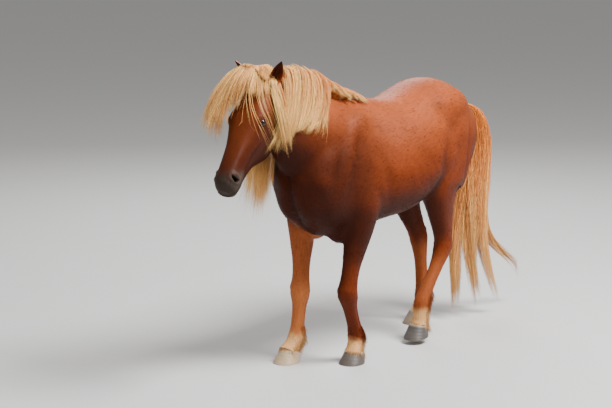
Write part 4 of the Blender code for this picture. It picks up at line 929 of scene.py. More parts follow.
def waves(points, scale, seed):
    """Slow random variation: the sum of five sines of different lengths and directions."""
    rng = np.random.default_rng(seed)
    total = np.zeros(len(points))
    for k in range(5):
        way = rng.normal(size=3)
        way /= np.linalg.norm(way)
        total += np.sin(points @ way * scale * (1 + 0.6 * k) + rng.uniform(0, PHASE)) / (1 + 0.5 * k)
    return total / 2.6


def times(colour, *factor):
    """A colour times one factor, or times one for each channel."""
    return np.array(colour) * np.array(factor)


def coat_colour(points, facing):
    """Coat colours: painted sunlight on the back, chestnut sides, painted shade in front, below and inside
    the legs, pale socks, grey muzzle.
    """
    s = bpy.context.scene.horse_skin
    x, y, z = points.T
    up = facing[:, 2]
    colour = np.tile(np.array(s.chestnut), (len(points), 1))
    trunk_part = step(z - 0.80, 0.3)
    # Painted sunlight: upward-facing parts of the trunk, and its top, get the sunlit colour.
    colour = mix(colour, s.bright, (0.55 * step(up - 0.25, 0.9) + 0.25 * step(z - 1.16, 0.3)) * trunk_part)
    # Painted shade on the front of the chest, shoulder and lower neck, and on everything that faces down or
    # inward.
    fore = step(-0.26 - x, 0.36) * step(z - 0.60, 0.2) * step(1.26 - z, 0.36)
    under = step(-up - 0.20, 0.9) * step(z - 0.55, 0.15)
    inner = step(-facing[:, 1] * np.sign(y) - 0.1, 0.6) * step(0.80 - z, 0.2) * ((x > -0.2) | (y < 0))
    # Painted shade on the front of the left foreleg, above and below the knee.
    upper_leg_shade = step(0.80 - z, 0.12) * step(z - 0.45, 0.3)
    front_low_shade = step(0.42 - z, 0.2) * step(z - 0.14, 0.05) * step(-0.1 - x, 0.2) * (y < 0)
    cannon = step(0.46 - z, 0.12) * step(z - 0.12, 0.05) * np.where((x > 0) | (y > 0), 1.0, 0.0)
    # Painted sunlight on the right foreleg; its cannon below is paler in its own coat.
    sunlit_right_fore = step(y - 0.03, 0.04) * step(-0.30 - x, 0.1) * step(0.72 - z, 0.14)
    right_cannon = sunlit_right_fore * step(0.42 - z, 0.12)
    # Painted shade in the hollow before the hip.
    hollow = np.exp(-((x - 0.252) ** 2 + (z - 1.298) ** 2) / 0.045**2) * (np.abs(y) > 0.08)
    # The shade mixes here are painted shade; the paler cannons are the coat's own colour.
    for tone, share in (
        (s.dark, 0.80 * fore),
        (s.dark, 0.86 * under),
        (s.dark, 0.62 * inner * step(z - 0.32, 0.3)),
        (s.dark, np.where(y < 0, 0.66, 0.0) * upper_leg_shade * step(-0.1 - x, 0.3)),
        (s.dark, 0.45 * front_low_shade),
        (times(s.chestnut, 1.75, 2.7, 3.4), 0.80 * cannon),
        (times(s.chestnut, 2.4, 3.9, 5.6), 0.82 * sunlit_right_fore),
        (times(s.chestnut, 3.2, 6.0, 8.0), 0.70 * right_cannon),
        (s.dark, 0.34 * hollow),
    ):
        colour = mix(colour, tone, share)
    for name, joints in LEG_JOINTS.items():
        fetlock = np.array(joints[3])
        near = (np.abs(x - fetlock[0]) < 0.17) & (np.sign(y) == np.sign(fetlock[1]))
        edge = SOCKS[name] + 0.012 * waves(points, 60, 3)
        colour = np.where(near[:, None], mix(colour, s.pale, 0.94 * step(edge - z, 0.045)), colour)
    colour = head_colour(points, colour)
    # Painted shade and light: the grooves of the body's relief are darker and its ridges lighter.
    relief_light_and_shade = np.clip(1 + 34 * body_relief(points, facing), 0.62, 1.18)
    colour = colour * (relief_light_and_shade * (1 + 0.10 * waves(points, 14, 8) + 0.06 * waves(points, 55, 9)))[:, None]
    return np.clip(colour, 0, 1)


def head_colour(points, colour):
    """The coat's colour with the head's own: painted shade on the face and jaw, grey muzzle, nostrils with
    painted shade inside, painted shade along the mouth and round the eyes.
    """
    s = bpy.context.scene.horse_skin
    u, v, w = head_place(points)
    aside = np.abs(w)
    grey = step(u - 0.500 + 0.02 * waves(points, 40, 5) - 0.55 * (v + 0.06), 0.10)
    rim = bump(u - NOSTRIL[0], v - NOSTRIL[1], 0.030, 0.034) * step(aside - 0.03, 0.01)
    corner = bump(u - 0.485, v + 0.085, 0.028, 0.022) * step(aside - 0.02, 0.02)
    eye_shade = bump(u - EYE[0], v - EYE[1], 0.034, 0.021) * step(aside - 0.05, 0.02)
    face = colour
    # Painted shade on the face and under the jaw, inside the nostrils, along the mouth line and round the
    # eyes.
    for tone, share in (
        (s.dark, 0.60 * step(u - 0.06, 0.2)),
        (s.dark, 0.30 * step(-0.13 - v, 0.1)),
        (s.muzzle, grey),
        (times(s.muzzle, 2.6), 0.45 * rim * step(0.9 - rim, 0.3)),
        (times(s.muzzle, 2.4), 0.5 * corner),
        (times(s.muzzle, 0.08), step(nostril_pit(u, v) - 0.05, 0.25) * (aside > 0.02)),
        (times(s.muzzle, 0.25), ridge(mouth_line(u, v), 0.0026) * mouth_reach(u)),
        (times(s.dark, 0.35), 0.85 * eye_shade),
    ):
        face = mix(face, tone, share)
    is_head = (points[:, 0] < HEAD_X) & (u > -0.1) & (u < 0.66)
    return np.where(is_head[:, None], face, colour)


def paint(item, name, colour):
    """Stores a colour for each vertex under a name."""
    layer = item.data.color_attributes.new(name, "FLOAT_COLOR", "POINT")
    rgba = np.ones((len(item.data.vertices), 4), np.float32)
    rgba[:, :3] = colour
    layer.data.foreach_set("color", rgba.ravel())


# Materials


def new_material(name, roughness, specular, **values):
    """A material with its surface shader; values are the shader's inputs, with _ for a space."""
    made = bpy.data.materials.new(name)
    made.use_nodes = True
    shader = made.node_tree.nodes["Principled BSDF"]
    shader.inputs["Roughness"].default_value = roughness
    shader.inputs["Specular IOR Level"].default_value = specular
    for key, value in values.items():
        shader.inputs[key.replace("_", " ")].default_value = value
    return made, made.node_tree, shader


def node(tree, kind, place_at, inputs=None, **values):
    """A node at a place in the editor, with its attributes and the values of its inputs."""
    made = with_values(tree.nodes.new(kind), values)
    made.location = place_at
    for key, value in (inputs or {}).items():
        made.inputs[key].default_value = value
    return made


def wire(tree, *rows):
    """Links sockets: each row gives a node, its output, the next node and its input."""
    for source, output, target, entry in rows:
        tree.links.new(source.outputs[output], target.inputs[entry])


def lie_group():
    """Fine streaks that lie along one axis: a colour factor near 1 and a height for the bump."""
    if "Hair lie" in bpy.data.node_groups:
        return bpy.data.node_groups["Hair lie"]
    group = bpy.data.node_groups.new("Hair lie", "ShaderNodeTree")
    for name, default in (("Across", 900.0), ("Along", 60.0), ("Tilt", 0.3)):
        socket = group.interface.new_socket(name, in_out="INPUT", socket_type="NodeSocketFloat")
        socket.default_value = default
    for name in ("Factor", "Height"):
        group.interface.new_socket(name, in_out="OUTPUT", socket_type="NodeSocketFloat")
    inputs = node(group, "NodeGroupInput", (-900, 0))
    outputs = node(group, "NodeGroupOutput", (500, 0))
    coordinate = node(group, "ShaderNodeTexCoord", (-900, 200))
    turn = node(group, "ShaderNodeVectorRotate", (-700, 200), rotation_type="Y_AXIS")
    scale = node(group, "ShaderNodeCombineXYZ", (-700, 0))
    stretch = node(group, "ShaderNodeVectorMath", (-500, 100), operation="MULTIPLY")
    fine = node(group, "ShaderNodeTexNoise", (-300, 150), {"Scale": 1.0, "Detail": 3.0})
    broad = node(group, "ShaderNodeTexNoise", (-300, -100), {"Scale": 0.28, "Detail": 2.0})
    both = node(group, "ShaderNodeMath", (-100, 50), operation="ADD")
    levels = {"From Min": 0.6, "From Max": 1.4, "To Min": 0.66, "To Max": 1.34}
    factor = node(group, "ShaderNodeMapRange", (150, 50), levels)
    wire(
        group, (coordinate, "Object", turn, "Vector"), (inputs, "Tilt", turn, "Angle"),
        (inputs, "Along", scale, "X"), (inputs, "Across", scale, "Y"), (inputs, "Across", scale, "Z"),
        (turn, "Vector", stretch, 0), (scale, "Vector", stretch, 1), (stretch, "Vector", fine, "Vector"),
        (stretch, "Vector", broad, "Vector"), (fine, "Fac", both, 0), (broad, "Fac", both, 1),
        (both, "Value", factor, "Value"), (factor, "Result", outputs, "Factor"),
        (both, "Value", outputs, "Height"),
    )
    return group


def coat_material():
    """Chestnut coat: painted markings with painted light and shade, broken up by streaks, level on the trunk
    and upright on the legs.
    """
    made, tree, shader = new_material("Chestnut coat", 0.46, 0.08)
    markings = node(tree, "ShaderNodeAttribute", (-900, 300), attribute_name="MarkingsWithPaintedLightAndShade")
    lie = node(tree, "ShaderNodeAttribute", (-900, -300), attribute_name="Lie")
    level = node(tree, "ShaderNodeGroup", (-700, 0), node_tree=lie_group())
    upright = node(tree, "ShaderNodeGroup", (-700, -200), node_tree=lie_group())
    level.inputs["Tilt"].default_value = 0.35
    upright.inputs["Tilt"].default_value = 1.5
    factor = node(tree, "ShaderNodeMix", (-450, 0), data_type="FLOAT")
    height = node(tree, "ShaderNodeMix", (-450, -250), data_type="FLOAT")
    tone = node(tree, "ShaderNodeVectorMath", (-250, 250), operation="SCALE")
    relief = node(tree, "ShaderNodeBump", (-250, -250), {"Strength": 0.40, "Distance": 0.0016})
    wire(
        tree, *((lie, "Fac", between, "Factor") for between in (factor, height)),
        (level, "Factor", factor, "A"), (upright, "Factor", factor, "B"),
        (level, "Height", height, "A"), (upright, "Height", height, "B"),
        (markings, "Color", tone, 0), (factor, "Result", tone, "Scale"),
        (tone, "Vector", shader, "Base Color"), (height, "Result", relief, "Height"),
        (relief, "Normal", shader, "Normal"),
    )
    return made


def painted_material(name, attribute, roughness, specular, **values):
    """A material whose colour is the one painted on the piece."""
    made, tree, shader = new_material(name, roughness, specular, **values)
    tone = node(tree, "ShaderNodeAttribute", (-400, 200), attribute_name=attribute)
    wire(tree, (tone, "Color", shader, "Base Color"))
    return made


def strand_material():
    """Long pale hair: each strand carries its own tone, with fine streaks and a soft gloss."""
    made, tree, shader = new_material("Long hair", 0.42, 0.16)
    tone = node(tree, "ShaderNodeAttribute", (-700, 200), attribute_name="Strand")
    coordinate = node(tree, "ShaderNodeTexCoord", (-900, -100))
    noise = node(tree, "ShaderNodeTexNoise", (-700, -100), {"Scale": 420.0, "Detail": 2.0})
    spread = node(tree, "ShaderNodeMapRange", (-500, -100), {"To Min": 0.80, "To Max": 1.20})
    shaded = node(tree, "ShaderNodeVectorMath", (-300, 150), operation="SCALE")
    wire(
        tree, (coordinate, "Object", noise, "Vector"), (noise, "Fac", spread, "Value"),
        (tone, "Color", shaded, 0), (spread, "Result", shaded, "Scale"),
        (shaded, "Vector", shader, "Base Color"),
    )
    return made


def horn_material():
    """Hoof horn: growth rings round the wall and fine upright fibres, over each hoof's own painted tone."""
    made, tree, shader = new_material("Hoof horn", 0.45, 0.4)
    tone = node(tree, "ShaderNodeAttribute", (-900, 250), attribute_name="Horn")
    coordinate = node(tree, "ShaderNodeTexCoord", (-1100, 0))
    bands = {"Scale": 62.0, "Distortion": 2.5, "Detail": 2.0}
    rings = node(tree, "ShaderNodeTexWave", (-900, 0), bands, wave_type="BANDS", bands_direction="Z")
    stretch = node(tree, "ShaderNodeMapping", (-900, -300), {"Scale": (260, 260, 18)})
    fibres = node(tree, "ShaderNodeTexNoise", (-700, -300), {"Scale": 1.0})
    both = node(tree, "ShaderNodeMath", (-500, -100), {1: 0.6}, operation="MULTIPLY_ADD")
    levels = {"From Max": 1.4, "To Min": 0.65, "To Max": 1.30}
    spread = node(tree, "ShaderNodeMapRange", (-300, 50), levels)
    shaded = node(tree, "ShaderNodeVectorMath", (-100, 200), operation="SCALE")
    relief = node(tree, "ShaderNodeBump", (-100, -200), {"Strength": 0.5, "Distance": 0.0012})
    wire(
        tree, (coordinate, "Object", rings, "Vector"), (coordinate, "Object", stretch, "Vector"),
        (stretch, "Vector", fibres, "Vector"), (rings, "Fac", both, 0), (fibres, "Fac", both, 2),
        (both, "Value", spread, "Value"), (tone, "Color", shaded, 0), (spread, "Result", shaded, "Scale"),
        (shaded, "Vector", shader, "Base Color"), (both, "Value", relief, "Height"),
        (relief, "Normal", shader, "Normal"),
    )
    return made


# The skin

# The finished skin for the hair and tufts: points, normals, triangles and a search tree without the ears.
SURFACE = {}


def build_skin():
    """Fuses the lofts on a voxel grid, relaxes and thins them, and adds the fine forms on a denser head."""
    s = bpy.context.scene.horse_skin
    pieces = [trunk(), neck(), head(), *muscles()] + [leg(name) for name in LEG_JOINTS]
    skin = place("skin", *joined(pieces))
    modify(skin, "REMESH", mode="VOXEL", voxel_size=s.voxel)
    apply_modifiers(skin)
    relax(skin.data, WHOLE_ROUNDS, smooth_share(coordinates(skin.data)))
    relax(skin.data, SMOOTH_ROUNDS, np.clip((smooth_share(coordinates(skin.data)) - 0.6) / 0.4, 0, 1))
    # The back of the left thigh runs smoothly from the buttock into the leg.
    away = coordinates(skin.data) - LEFT_THIGH
    relax(skin.data, THIGH_ROUNDS, np.exp(-(away**2).sum(1) / THIGH_REACH**2))
    group = skin.vertex_groups.new(name="keep")
    group.add(np.flatnonzero(coordinates(skin.data)[:, 0] < HEAD_X).tolist(), 0.5, "REPLACE")
    triangles = sum(len(face.vertices) - 2 for face in skin.data.polygons)
    modify(
        skin, "DECIMATE", ratio=s.triangles / triangles, use_collapse_triangulate=True,
        vertex_group="keep", invert_vertex_group=True, vertex_group_factor=0.6,
    )
    apply_modifiers(skin)
    skin.vertex_groups.clear()
    for reach in FINE_REACHES:
        refine(skin, reach)
    points, facing = coordinates(skin.data), normals(skin.data)
    rise = head_relief(points) + body_relief(points, facing) + leg_relief(points)
    put(skin.data, points + facing * (rise - s.depth)[:, None])
    ears = outward(place("ears", *joined([ear(-1), ear(1)])))
    modify(skin, "BOOLEAN", operation="UNION", solver="MANIFOLD", object=ears)
    modify(skin, "TRIANGULATE", quad_method="BEAUTY")
    apply_modifiers(skin)
    bpy.data.objects.remove(ears, do_unlink=True)
    points = coordinates(skin.data)
    share = np.zeros(len(points))
    for side in (-1, 1):
        base = head_point(EAR_BASE[0], EAR_BASE[1] + 0.004, side * EAR_BASE[2])
        share = np.maximum(share, np.exp(-((np.linalg.norm(points - base, axis=1) / 0.034) ** 4)))
    relax(skin.data, EAR_ROUNDS, 0.7 * share)
    return skin


def refine(skin, reach):
    """Splits every edge near the eyes, nostrils and lips in two, for the fine forms there."""
    made = bmesh.new()
    made.from_mesh(skin.data)
    points = coordinates(skin.data)
    u, v, w = head_place(points)
    near = np.zeros(len(points), bool)
    for down, out, right in (EYE, NOSTRIL, *LIPS):
        near |= (u - down) ** 2 + (v - out) ** 2 + (np.abs(w) - right) ** 2 < reach**2
    near &= points[:, 0] < HEAD_X
    made.verts.ensure_lookup_table()
    chosen = {made.verts[k] for k in np.flatnonzero(near)}
    edges = {e for vertex in chosen for e in vertex.link_edges if e.other_vert(vertex) in chosen}
    bmesh.ops.subdivide_edges(made, edges=list(edges), cuts=1, use_grid_fill=True)
    bmesh.ops.triangulate(made, faces=[face for face in made.faces if len(face.verts) > 3])
    made.to_mesh(skin.data)
    made.free()


def lie_share(points):
    """How upright the coat lies: level on the trunk, upright on the legs, steep down the face."""
    x, z = points[:, 0], points[:, 2]
    legs = step(0.78 - z, 0.2)
    face = (x < HEAD_X) * step(head_place(points)[0] - 0.02, 0.1)
    return np.clip(np.maximum(legs, 0.7 * face), 0, 1)


class HORSE_OT_skin(bpy.types.Operator):
    """Builds the horse's skin in one piece, with its ears, lids, nostrils and lips"""

    bl_idname = "horse.skin"
    bl_label = "Skin"

    def execute(self, context):
        skin = build_skin()
        points, facing = coordinates(skin.data), normals(skin.data)
        colour = coat_colour(points, facing)
        # Painted shade darkens the insides of the ear cups.
        top = points[:, 2] > POLL[2] + 0.02
        inward = np.where(head_place(points)[2] > 0, 1, -1) * (facing @ head_axes()[3])
        cup = top * step((facing @ np.array([-0.7, -0.1, 0.0])) + inward * 0.75 - 0.35, 0.5)
        colour = mix(colour, context.scene.horse_skin.dark, 0.75 * cup)
        # The coat's colours, with their painted light and shade, are stored on the skin.
        paint(skin, "MarkingsWithPaintedLightAndShade", colour)
        lie = skin.data.attributes.new("Lie", "FLOAT", "POINT")
        lie.data.foreach_set("value", lie_share(points).astype(np.float32))
        faces = fetched(skin.data.polygons, "vertices", 3, np.int32)
        middle = points[faces].mean(1)
        on_ear = np.zeros(len(middle), bool)
        for side in (-1, 1):
            high, away = ear_distance(middle, side)
            on_ear |= (high > 0.002) & (np.linalg.norm(away, axis=1) < 0.045)
        tree = BVHTree.FromPolygons(points.tolist(), faces[~on_ear].tolist())
        SURFACE.update(points=points, facing=facing, faces=faces, tree=tree)
        skin.data.materials.clear()
        settle(skin, coat_material(), "coat")
        flesh = ["torso", "neck", "head", "ear_left", "ear_right"] + list(LEG_JOINTS)
        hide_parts(*flesh)
        return {"FINISHED"}


def settle(item, shade, slot, *nodes):
    """Gives a finished mesh its material, moves it into the model's frame and ties it to the horse's body."""
    item.data.materials.append(shade)
    item.data.shade_smooth()
    put(item.data, coordinates(item.data) + SHIFT)
    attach(item, "root")
    if nodes:
        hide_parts(*nodes)


# Eyes and hooves


class HORSE_OT_eyes(bpy.types.Operator):
    """Builds the eyeballs with iris and level pupil"""

    bl_idname = "horse.eyes"
    bl_label = "Eyes"

    def execute(self, context):
        _, down_axis, out_axis, right_axis = head_axes()
        shade = painted_material("Wet eye", "Iris", 0.14, 0.25, Coat_Weight=0.30, Coat_Roughness=0.16)
        for side, word in ((-1, "left"), (1, "right")):
            centre = head_point(EYE[0], EYE[1], side * EYE[2])
            look = right_axis * side
            local = globe(0.02, 60, 72)
            # The front of the ball swells a little.
            swell = 1 + 0.035 * np.exp(-((local[..., 2:3] - 1) / 0.25) ** 2)
            along = local[..., 0:1] * down_axis + local[..., 1:2] * out_axis + local[..., 2:3] * look
            points, faces = skin_rings(centre + along * swell * (EYE_RADIUS - 0.0008))
            item = outward(place("eyeball_" + word, points, faces))
            away = (coordinates(item.data) - centre) / EYE_RADIUS
            a, b = away @ down_axis, away @ out_axis
            ahead = away @ look > 0
            iris = np.sqrt(a**2 + b**2)
            tone = mix((0.026, 0.010, 0.004), (0.008, 0.004, 0.002), step(iris - 0.52, 0.15))
            tone = mix(tone, (0.0015, 0.0012, 0.0015), step(0.40 - np.sqrt(a**2 + (b / 0.55) ** 2), 0.08))
            tone = mix(tone, (0.030, 0.018, 0.012), step(iris - 0.86, 0.08) * ahead)
            paint(item, "Iris", tone)
            settle(item, shade, "cornea", "eye_" + word)
        return {"FINISHED"}


def hoof_rings(at, sides):
    """A hoof's rings from sole to coronet: ovals with growth rings and a cleft behind."""
    rows = np.column_stack([np.linspace(0, 1, len(HOOF)), np.array(HOOF)])
    toe_height, heel_height, front, back, half = spline(rows, at).T[:, :, None]
    angle = (np.arange(sides) / sides * TURN)[None, :]
    c, s = np.cos(angle), np.sin(angle)
    middle, reach = (front + back) / 2, (back - front) / 2
    x = middle + reach * signed_power(c, np.where(c > 0, 0.62, 0.95))
    y = half * signed_power(s, np.where(c > 0, 0.80, 0.95))
    at = at[:, None]
    ring = 1 + 0.006 * np.sin(at * 38) * (at > 0.08) - 0.014 * ridge(at, 0.05)
    ring = ring - 0.02 * ridge(at - 1, 0.05)
    toward_back = (angle + math.pi) % TURN - math.pi
    cleft = 1 - 0.16 * np.exp(-((toward_back / 0.16) ** 2)) * (1 - 0.5 * at)
    x, y = middle + (x - middle) * ring * cleft, y * ring
    z = toe_height + (heel_height - toe_height) * ((x - front) / (back - front))
    return np.stack([x, y, z], -1)


class HORSE_OT_hooves(bpy.types.Operator):
    """Builds the hooves with their growth rings, heels and rounded edges"""

    bl_idname = "horse.hooves"
    bl_label = "Hooves"

    def execute(self, context):
        shade = horn_material()
        sides = 64
        at = np.concatenate([np.linspace(0, 0.9, 26), np.linspace(0.92, 1, 6)])
        high = np.concatenate([np.repeat(at, sides), [0, 1]])
        for leg_name, name, *_ in HOOVES:
            points, faces = skin_rings(hoof_rings(at, sides))
            place_at = np.array(hoof_matrix(leg_name))
            points = points @ place_at[:3, :3].T + place_at[:3, 3]
            points[:, 2] = np.maximum(points[:, 2], 0.0)
            item = outward(place(name + "_horn", points, faces))
            tone = np.tile(np.array(HOOF_TONES[name]), (len(points), 1))
            tone = mix(tone, (0.50, 0.36, 0.22), 0.55 * step(high - 0.93, 0.12))
            tone = mix(tone, (0.30, 0.22, 0.13), 0.30 * step(0.10 - high, 0.15))
            paint(item, "Horn", tone * (1 + 0.15 * waves(points, 60, 4))[:, None])
            settle(item, shade, "horn", name)
        return {"FINISHED"}


# Hair


def along_frame(paths):
    """Unit vectors along each path."""
    return unit(np.gradient(paths, axis=1), TINY)


def strands(name, paths, facing, width, colour, taper, root_uv, attribute="Strand", sides=3):
    """Closed tapered prisms along many paths at once: a triangle at each station and one point at the tip."""
    count, stations = paths.shape[:2]
    body = stations - 1
    along = along_frame(paths)
    across = unit(np.cross(along, facing), TINY)
    face = np.cross(across, along)
    angle = np.arange(sides) / sides * TURN + math.pi / 2
    size = (width[:, None] * taper[None, :] / 2)[..., None, None]
    rings = paths[:, :, None, :] + size * (
        np.cos(angle)[None, None, :, None] * across[:, :, None, :]
        + 0.45 * np.sin(angle)[None, None, :, None] * face[:, :, None, :]
    )
    points = np.concatenate([rings[:, :body].reshape(-1, 3), paths[:, -1]])
    start = (np.arange(count) * body * sides)[:, None, None]
    ring = (np.arange(body - 1) * sides)[None, :, None]
    k = np.arange(sides)[None, None, :]
    a, b = start + ring + k, start + ring + (k + 1) % sides
    walls = np.stack([a, b, b + sides, a, b + sides, a + sides], -1).reshape(-1, 3)
    first = start[:, 0] + np.array([[0, 2, 1]])
    k = np.arange(sides)[None, :]
    last = start[:, 0] + (body - 1) * sides
    tip = count * body * sides + np.arange(count)[:, None] + 0 * k
    tips = np.stack([last + k, last + (k + 1) % sides, tip], -1).reshape(-1, 3)
    item = place_arrays(name, points, np.vstack([walls, first, tips]))

    def by_vertex(values):
        values = np.broadcast_to(values, (count, stations, values.shape[2]))
        rows = np.repeat(values[:, :body].reshape(-1, values.shape[2]), sides, 0)
        return np.concatenate([rows, values[:, -1]])

    paint(item, attribute, np.clip(by_vertex(colour), 0.002, 1))
    t = np.linspace(0, 1, stations)[None, :, None]
    uv = by_vertex(np.concatenate([root_uv[:, None, 0:1] + 0 * t, root_uv[:, None, 1:2] + 0.003 * t], 2))
    uv[: count * body * sides, 0] += 0.003 * np.tile(np.arange(sides) / sides, count * body)
    bake_uv(item, uv)
    return item


def bake_uv(item, by_vertex):
    """Stores the OFBake map from one place for each vertex."""
    layer = item.data.uv_layers.new(name="OFBake")
    corner = fetched(item.data.loops, "vertex_index", 1, np.int32)[:, 0]
    layer.data.foreach_set("uv", np.clip(by_vertex, 0.0005, 0.9995)[corner].astype(np.float32).ravel())


def sheet(columns, across, stations):
    """Paths on a sheet of hair: cubic curves down each given line, then cubic curves from line to line."""
    t = np.linspace(0, 1, stations)
    grid = np.array([spline(np.column_stack([np.linspace(0, 1, len(line)), line]), t) for line in columns])
    rows = np.column_stack([np.linspace(0, 1, len(columns)), grid.reshape(len(columns), -1)])
    return spline(rows, np.clip(across, 0, 1)).reshape(len(across), stations, 3)


def nearest(points):
    """The nearest places on the skin and the skin's normals there."""
    tree = SURFACE["tree"]
    found = [tree.find_nearest(Vector(point))[:2] for point in points.reshape(-1, 3)]
    near = np.array([tuple(place_at) for place_at, _ in found]).reshape(points.shape)
    return near, np.array([tuple(normal) for _, normal in found]).reshape(points.shape)


def hug(paths, layer, clearance):
    """Draws each path toward the skin by its layer, from its root to its own height, and keeps it outside."""
    t = np.linspace(0, 1, paths.shape[1])[None, :]
    near, facing = nearest(paths)
    away = ((paths - near) * facing).sum(2)
    sideways = paths - near - away[..., None] * facing
    rise = np.interp(t, [0, 0.03, 0.09, 1], [0.0, 0.70, 1.0, 1.0])
    share = layer[:, None] * rise
    least = clearance * np.interp(t, [0, 0.08, 1], [-0.5, 0.6, 1.0])
    height = np.maximum(np.abs(away) * share, least)
    moved = near + facing * height[..., None] + sideways * share[..., None]
    along = along_frame(moved)
    return moved, unit(facing - along * (along * facing).sum(2)[..., None], TINY)


def ear_distance(points, side):
    """How high along an ear's middle line points lie, and the vectors from that line to them."""
    base, up = ear_line(side)
    high = (points - base) @ up
    return high, points - base - high[..., None] * up


def clear_of_ears(paths):
    """Moves hair sideways out of a tapered tube round each ear, and tells which strands hardly moved."""
    least_moved = np.ones(len(paths), bool)
    for side in (-1, 1):
        high, away = ear_distance(paths, side)
        distance = np.linalg.norm(away, axis=-1) + 1e-6
        least = np.interp(high, [-0.01, 0.010, 0.05, 0.105, 0.125], [0.0, 0.026, 0.032, 0.016, 0.0])
        push = np.maximum(least - distance, 0)
        least_moved &= push.max(1) < 0.014
        paths = paths + away * (push / distance)[..., None]
    return paths, least_moved


def gathered(
    rng, count, groups, columns, stations, density=None, pull=0.55, wave=0.007, short=0.30, skew=1.0,
    thin=None, curl=0.0, stub=(0.20, 0.46),
):
    """Strands spread over a sheet whose lower parts gather into pointed locks, and those into larger ones.

    Density thins the roots across the sheet, pull sets how strongly a lock gathers, wave and curl how it
    swings, short and skew how much and how seldom it ends early, and thin and stub where and how short
    strands are cut.
    """
    across = rng.random(count * 3)
    if density is not None:
        across = across[rng.random(count * 3) < density(across)]
    across = np.sort(rng.permutation(across)[:count])
    count = len(across)
    middles = np.sort(rng.random(groups + 3))
    larger = np.sort(rng.random(groups // 4))
    seed = np.clip(np.searchsorted(middles, across + 0.4 / groups * rng.normal(size=count)), 0, groups + 2)
    small = middles[seed]
    large = larger[np.clip(np.searchsorted(larger, small), 0, len(larger) - 1)]
    t = np.linspace(0, 1, stations)[None, :]
    table = rng.random((groups + 3, 6))
    chosen = table[seed]
    pull = pull * (0.55 + 0.6 * chosen[:, 5:6])
    gather_small, gather_large = np.clip(pull, 0, 0.95) * t**0.8, 0.30 * pull * t**1.4
    own, fine, coarse = (sheet(columns, value, stations) for value in (across, small, large))
    paths = own * (1 - gather_small)[..., None] + fine * gather_small[..., None]
    paths = paths * (1 - gather_large)[..., None] + coarse * gather_large[..., None]
    own_layer = 0.5 * chosen[:, 0] ** 0.45 + 0.5 * rng.random(count) ** 0.45
    layer = np.clip(0.34 + 0.72 * own_layer + 0.06 * rng.normal(size=count), 0.15, 1.10)
    reach = (1.06 - short * chosen[:, 1] ** skew) * (1 - 0.20 * rng.random(count) ** 1.8)
    if thin is not None:
        cut = rng.random(count) < thin(across)
        reach = np.where(cut, np.minimum(reach, rng.uniform(*stub, count)), reach)
    at = np.linspace(0, 1, stations)[None, :] * reach[:, None] * (stations - 1)
    low = np.clip(at.astype(int), 0, stations - 2)
    part = (at - low)[..., None]
    row = np.arange(count)[:, None]
    paths = paths[row, low] * (1 - part) + paths[row, low + 1] * part
    swing = wave * t**0.9 * np.sin(PHASE * chosen[:, 2:3] + (2 + 3 * chosen[:, 3:4]) * t)
    paths[..., 0] -= curl * (0.35 + 0.65 * chosen[:, 3:4] ** 2) * t**3 * (0.5 + rng.random((count, 1)))
    own_swing = 0.0035 * t * np.sin(PHASE * rng.random((count, 1)) + rng.uniform(2, 7, (count, 1)) * t)
    across_way = unit(np.cross(along_frame(paths), np.array([0.3, -1.0, 0.1])), TINY)
    stray = (rng.random(count) < 0.035)[:, None] * t**1.3 * rng.normal(0, 0.030, (count, 1))
    paths = paths + across_way * (swing + own_swing + stray)[..., None]
    return paths, layer, across, chosen


def above_floor(paths, low):
    """Lifts what would hang too low."""
    paths[..., 2] = np.maximum(paths[..., 2], low)
    return paths


def strand_colour(rng, count, stations, gold_root, depth):
    """Cream strands with golden roots, painted shade deeper in the sheet, and each a little different."""
    s = bpy.context.scene.horse_hair
    t = np.linspace(0, 1, stations)[None, :]
    tone = np.tile(np.array(s.cream), (count, stations, 1))
    gold = np.clip(gold_root[:, None] * (1 - t / 0.85) + 0.12 * rng.normal(size=(count, 1)), 0, 1)
    tone = mix(tone, s.gold, gold)
    # Painted shade: deeper strands mix toward the shade colour, less so toward their tips.
    dark = depth[:, None] * (1 - 0.35 * t) + 0.10 * rng.normal(size=(count, 1))
    tone = mix(tone, s.shade, np.clip(dark, 0, 0.9))
    return np.clip(tone * np.exp(0.30 * rng.normal(size=(count, 1, 1))), 0.01, 1)


def taper_row(stations):
    """A strand's width along it, from the root to a thin tip."""
    return np.interp(np.linspace(0, 1, stations), [0, 0.2, 0.7, 1.0], [0.8, 1.0, 0.85, 0.16])


def neck_middle(x):
    """How far to the right the middle of the neck lies at each x."""
    rows = np.array(NECK)[::-1]
    return np.interp(x, rows[:, 1], rows[:, 2])


def grow(
    name, count, groups, columns, stations, slot_node, gold, shade, place_at=None, flat=1.0, **options
):
    """One piece of long hair: gathered strands, laid over the skin, with painted shade by their depth."""
    s = bpy.context.scene.horse_hair
    rng = np.random.default_rng(SEEDS[name])
    paths, layer, across, chosen = gathered(rng, count, groups, columns, stations, **options)
    layer = layer * flat
    if place_at is not None:
        paths = place_at(paths)
    paths, facing = hug(paths, layer, 0.004 + 0.003 * rng.random((len(paths), 1)))
    paths, kept = clear_of_ears(paths)
    paths, facing, layer, across, chosen = (part[kept] for part in (paths, facing, layer, across, chosen))
    count = len(paths)
    # Painted shade: strands near the skin, and a few whole locks, are darker.
    depth = np.clip(0.56 - 0.75 * layer / flat, 0, 0.6) + 0.50 * (chosen[:, 4] > 0.84)
    colour = strand_colour(rng, count, stations, gold(across) + 0.10 * rng.normal(size=count), depth)
    width = s.width * rng.uniform(0.6, 1.25, count)
    uv = np.stack([MAP_EDGE + MAP_SPREAD * across, MAP_EDGE + MAP_SPREAD * rng.random(count)], 1)
    item = strands(name, paths, facing, width, colour, taper_row(stations), uv)
    settle(item, shade, "hair", slot_node)


def mirrored(columns, drop):
    """The same lines on the other side of the neck, hanging lower by the drop."""
    lines = np.array(columns)
    middle = neck_middle(lines[..., 0])
    lines[..., 1] = 2 * middle - lines[..., 1]
    t = np.linspace(0, 1, lines.shape[1])[None, :]
    lines[..., 2] -= drop[:, None] * t**1.2
    return lines


